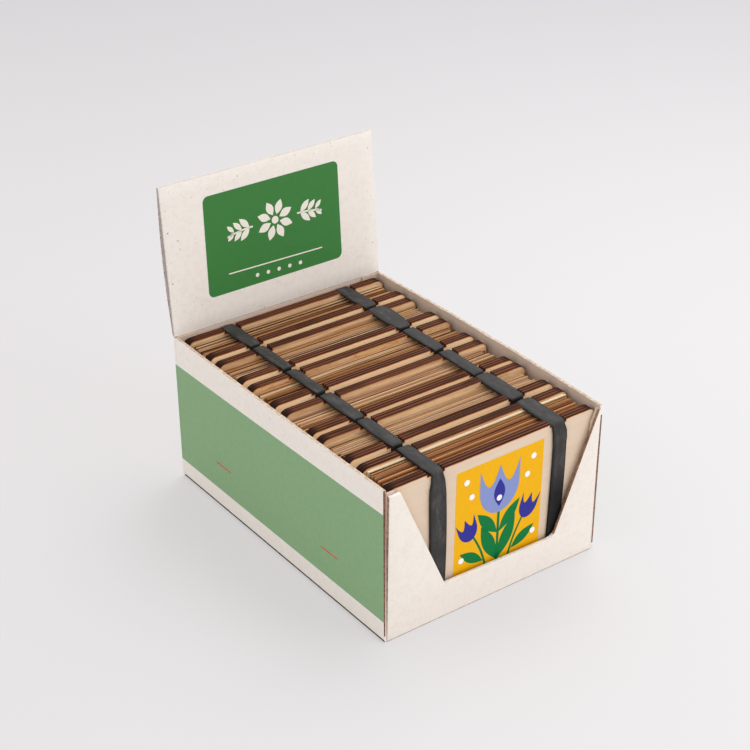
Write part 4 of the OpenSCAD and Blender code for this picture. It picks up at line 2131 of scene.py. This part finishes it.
@dataclass
class Band:
    """One stretched flat band, a closed loop in the notches of both boards."""

    press: Press
    node: str
    share: float
    side: int
    thickness: float = 1.0 * MM
    roll: float = 1.2 * MM
    roll_steps: int = 5
    cuts: tuple[tuple[int, int], ...] = ((X, 7), (Z, 19), (Y, 23))
    edge_width: float = 0.3 * MM
    edge_steps: int = 3
    edge_angle: float = 60.0
    smooth_angle: float = 50.0
    spread: float = 0.1
    crown: float = 0.3 * MM
    seam: float = 0.32 * MM
    pinch: float = 0.18
    pinch_length: float = 0.16
    swell_power: float = 0.6
    ripple: Point = (0.03, 7.0)
    sway: Point = (0.5 * MM, 3.0)
    give: float = 2.0 * MM
    lump: float = 0.7 * MM
    lumpy: tuple[int, int] = (5, 1)
    wrinkle: float = 0.2 * MM
    wrinkle_scale: Triple = (420.0, 260.0, 3.1)
    slack: Point = (0.9 * MM, 0.5 * MM)
    hang: Point = (1.18, 0.80)
    hang_front: float = 0.2
    hang_top: float = 0.95
    hang_spans: tuple[Point, Point] = ((0.97, -0.12), (0.03, 0.12))
    top_span: Point = (0.9, 0.08)
    foot_span: Point = (0.1, -0.08)
    flat_span: Point = (0.97, 0.02)
    clean_span: Point = (0.72, -0.22)
    clean_depth: float = 0.3
    box: Corners = field(init=False)
    phase: list[float] = field(init=False)
    fits: tuple[BandFit, ...] = field(init=False)
    spare: float = field(init=False)

    def __post_init__(self) -> None:
        """Finds where the band lies. Side is -1 for the left band, and share is that of its full width."""
        number = self.press.number
        self.box = self.press.place.box(self.node)
        self.phase = [self.press.luck.uniform(0, math.tau) for _ in range(3)]
        self.fits = BAND_FITS[self.side][number - 1:number + 1]
        self.spare = (self.press.pattern.outline.notch_width - self.box.size.x * self.share) / 2

    def build(self, name: str) -> None:
        """Builds the band under a name's stem."""
        number, box = self.press.number, self.box
        band = Bench.block(f"{name}_{number}", box.low, box.high)
        Bench.bevel(band, lambda edge: runs_along(edge, X), self.roll, self.roll_steps)
        Bench.open_ends(band, lambda face: abs(face.normal.x) > FACES)
        for axis, cuts in self.cuts:
            Bench.divide(band, axis, cuts)
        offset = Vector((number, self.side, 0)) * self.spread - box.middle
        Bench.note(band, "place", lambda place: place + offset)
        Bench.note(band, "seam", self.marks)
        Bench.reshape(band, self.lie)
        Bench.modify(band, "SOLIDIFY", thickness=self.thickness, offset=-1.0, use_even_offset=True)
        Bench.modify(
            band, "BEVEL", width=self.edge_width, segments=self.edge_steps, limit_method="ANGLE",
            angle_limit=math.radians(self.edge_angle),
        )
        Bench.paint(band, (Rubber(),))
        Bench.smooth(band, self.smooth_angle)
        self.press.finish(band, "rubber_band", self.node)

    def shares(self, place: Vector) -> Triple:
        """Place across the band from -1 to 1, and along and up its box from 0 to 1."""
        box, middle = self.box, self.box.middle
        return (
            (place.x - middle.x) / (box.size.x / 2), (place.y - middle.y) / box.size.y + 0.5,
            (place.z - box.low.z) / box.size.z,
        )

    def width(self, along: float, up: float, top: float) -> float:
        """Works out how wide the band is at a place.

        Args:
            along: Place from the front to the back of the press, as a share.
            up: Place from the foot to the top, as a share.
            top: One on the top of the press and zero on its faces.

        Returns:
            The width there as a share of the full one.
        """
        front, back = self.fits
        ends = front.width * (1 - along) + back.width * along
        swell = max(0.0, math.sin(math.pi * along)) ** self.swell_power
        wide = ends + (self.share - ends) * (swell * top + 1 - top)
        depth, waves = self.ripple
        wide *= 1 + depth * math.sin(waves * up + self.phase[0]) * (1 - top)
        near_end = max(0.0, 1 - min(along, 1 - along) / self.pinch_length)
        wide *= 1 - self.pinch * near_end ** 2 * top
        if self.hangs(along):
            hang = ramp(up, *self.hang_spans[0]) * ramp(up, *self.hang_spans[1])
            wide *= 1 + (self.hang[self.side > 0] - 1) * hang
        return wide

    def hangs(self, along: float) -> bool:
        """Says whether the band hangs free there, as it does in the front window."""
        return self.press.number == 1 and along < self.hang_front

    def lie(self, place: Vector) -> Vector:
        """Lets the band wander, narrow at both ends and lie slack on the boards."""
        across, along, up = self.shares(place)
        top, arch = ramp(up, *self.top_span), max(0.0, math.sin(math.pi * along))
        held = max(top, ramp(up, *self.foot_span))
        reach, waves = self.sway
        free = (1 - held) * reach * math.sin(waves * up + self.phase[1])
        if self.hangs(along):
            free += self.slack[self.side > 0] * math.sin(math.pi * min(1.0, up / self.hang_top))
        limit = self.spare + (1 - held) * self.give
        drift = self.fits[0].shift * (1 - along) + self.fits[1].shift * along
        half = self.box.size.x / 2 * self.width(along, up, top)
        x = self.box.middle.x + max(-limit, min(limit, drift)) + free + across * half
        flat = ramp(up, *self.flat_span)
        crown = self.crown * (1 - across ** 2) * math.sqrt(arch)
        lump = self.lump if (self.press.number, self.side) == self.lumpy else 0.0
        roll = lump * max(0.0, across) * math.sin(math.pi * along) * along
        fine_y, fine_x, step = self.wrinkle_scale
        folds = Vector((place.y * fine_y, place.x * fine_x, self.press.number * step + self.side))
        rise = crown + roll + noise.noise(folds) * self.wrinkle
        return Vector((x + roll * flat, place.y, place.z + flat * rise))

    def marks(self, place: Vector) -> Vector:
        """Painted shade where it meets the next band, nearness to its long edge for the painted shade there,
        and painted shade low in the window on the first press's right band.
        """
        across, _, up = self.shares(place)
        box, number = self.box, self.press.number
        past = [
            (box.low.y - place.y + self.seam, number > 1),
            (place.y - box.high.y + self.seam, number < count_presses()),
        ]
        # Painted shade in the gap where the band meets the next one
        deep = any(over > 0 and near for over, near in past) and place.z > box.high.z - 2 * self.roll
        # Painted shade on the lower front of the first press's right band, in the window, darker towards the
        # bottom
        in_window_shade = (number, self.side) == (1, 1) and place.y < box.middle.y - box.size.y * self.clean_depth
        return Vector((float(deep), abs(across), ramp(up, *self.clean_span) if in_window_shade else 0.0))


@dataclass(frozen=True)
class CoverDesign:
    """Generic cover print of tulips, drawn on x and z from the middle of its foot."""

    width: float
    height: float
    yellow: Ink = Ink("print_yellow", srgb(242, 180, 6))
    green: Ink = Ink("print_green", srgb(0, 120, 60))
    pale: Ink = Ink("print_periwinkle", srgb(136, 150, 204))
    dark: Ink = Ink("print_blue", srgb(50, 50, 150))
    white: Ink = Ink("print_white", srgb(250, 248, 244))
    middle_stem: Point = (31.0 * MM, 1.2 * MM)
    side_stem: Triple = (24.0 * MM, 1.0 * MM, 7.5 * MM)
    side_stem_foot: float = 4.5 * MM
    leaves: tuple[tuple[Point, Point, float], ...] = (
        ((19.0 * MM, 5.6 * MM), (0.3 * MM, 9.0 * MM), 24.0),
        ((13.0 * MM, 4.4 * MM), (6.6 * MM, 11.0 * MM), 58.0),
        ((15.0 * MM, 4.8 * MM), (0.3 * MM, 21.0 * MM), 40.0),
    )
    tulip: tuple[Point, Point] = ((18.5 * MM, 20.5 * MM), (0.0, 30.0 * MM))
    bud: tuple[Point, Point, float] = ((8.6 * MM, 10.5 * MM), (12.6 * MM, 22.4 * MM), 18.0)
    heart: tuple[Point, Point] = ((12.0 * MM, 5.2 * MM), (0.0, 32.5 * MM))
    dot: float = 1.25 * MM
    dot_steps: int = 20
    dot_places: tuple[Point, ...] = (
        (15.6 * MM, 48.5 * MM), (13.0 * MM, 41.5 * MM), (17.0 * MM, 15.0 * MM),
    )
    heart_dot: Point = (0.0, 36.2 * MM)

    def layers(self) -> list[tuple[Ink, list[list[Point]]]]:
        """Returns each ink with its shapes, from the ground up."""
        half = self.width / 2
        ground = [(-half, 0.0), (half, 0.0), (half, self.height), (-half, self.height)]
        size, foot = self.tulip
        return [
            (self.yellow, [ground]), (self.green, self.greenery()),
            (self.pale, [Stencil.place(Stencil.tulip(*size), foot)]),
            (self.dark, self.buds()), (self.white, self.dots()),
        ]

    def greenery(self) -> list[list[Point]]:
        """Three stems and their leaves."""
        shapes = [Stencil.place(Stencil.stem(*self.middle_stem), (0.0, 0.0))]
        length, width, bend = self.side_stem
        for side in (-1, 1):
            stem = Stencil.stem(length, width, side * bend)
            shapes.append(Stencil.place(stem, (side * self.side_stem_foot, 0.0)))
            for size, (x, z), turn in self.leaves:
                shapes.append(Stencil.place(Stencil.leaf(*size), (side * x, z), -side * turn))
        return shapes

    def buds(self) -> list[list[Point]]:
        """Two smaller tulips at the sides and the heart of the large one."""
        size, (x, z), turn = self.bud
        shapes = [Stencil.place(Stencil.tulip(*size), (side * x, z), -side * turn) for side in (-1, 1)]
        size, foot = self.heart
        return shapes + [Stencil.place(Stencil.leaf(*size), foot)]

    def dots(self) -> list[list[Point]]:
        """White dots beside the tulips and one in the middle."""
        places = [(side * x, z) for x, z in self.dot_places for side in (-1, 1)] + [self.heart_dot]
        return [Stencil.place(Stencil.disc(self.dot, self.dot_steps), place) for place in places]


def main() -> None:
    """Builds the studio and every piece in order."""
    logging.basicConfig(level=logging.INFO, format="%(message)s")
    Studio().build()
    tray = Tray()
    tray.build()
    Header().build()
    boards = BoardPattern.measured()
    for number in range(1, count_presses() + 1):
        Press(number, boards).build()
    boards.discard()


if __name__ == "__main__":
    main()
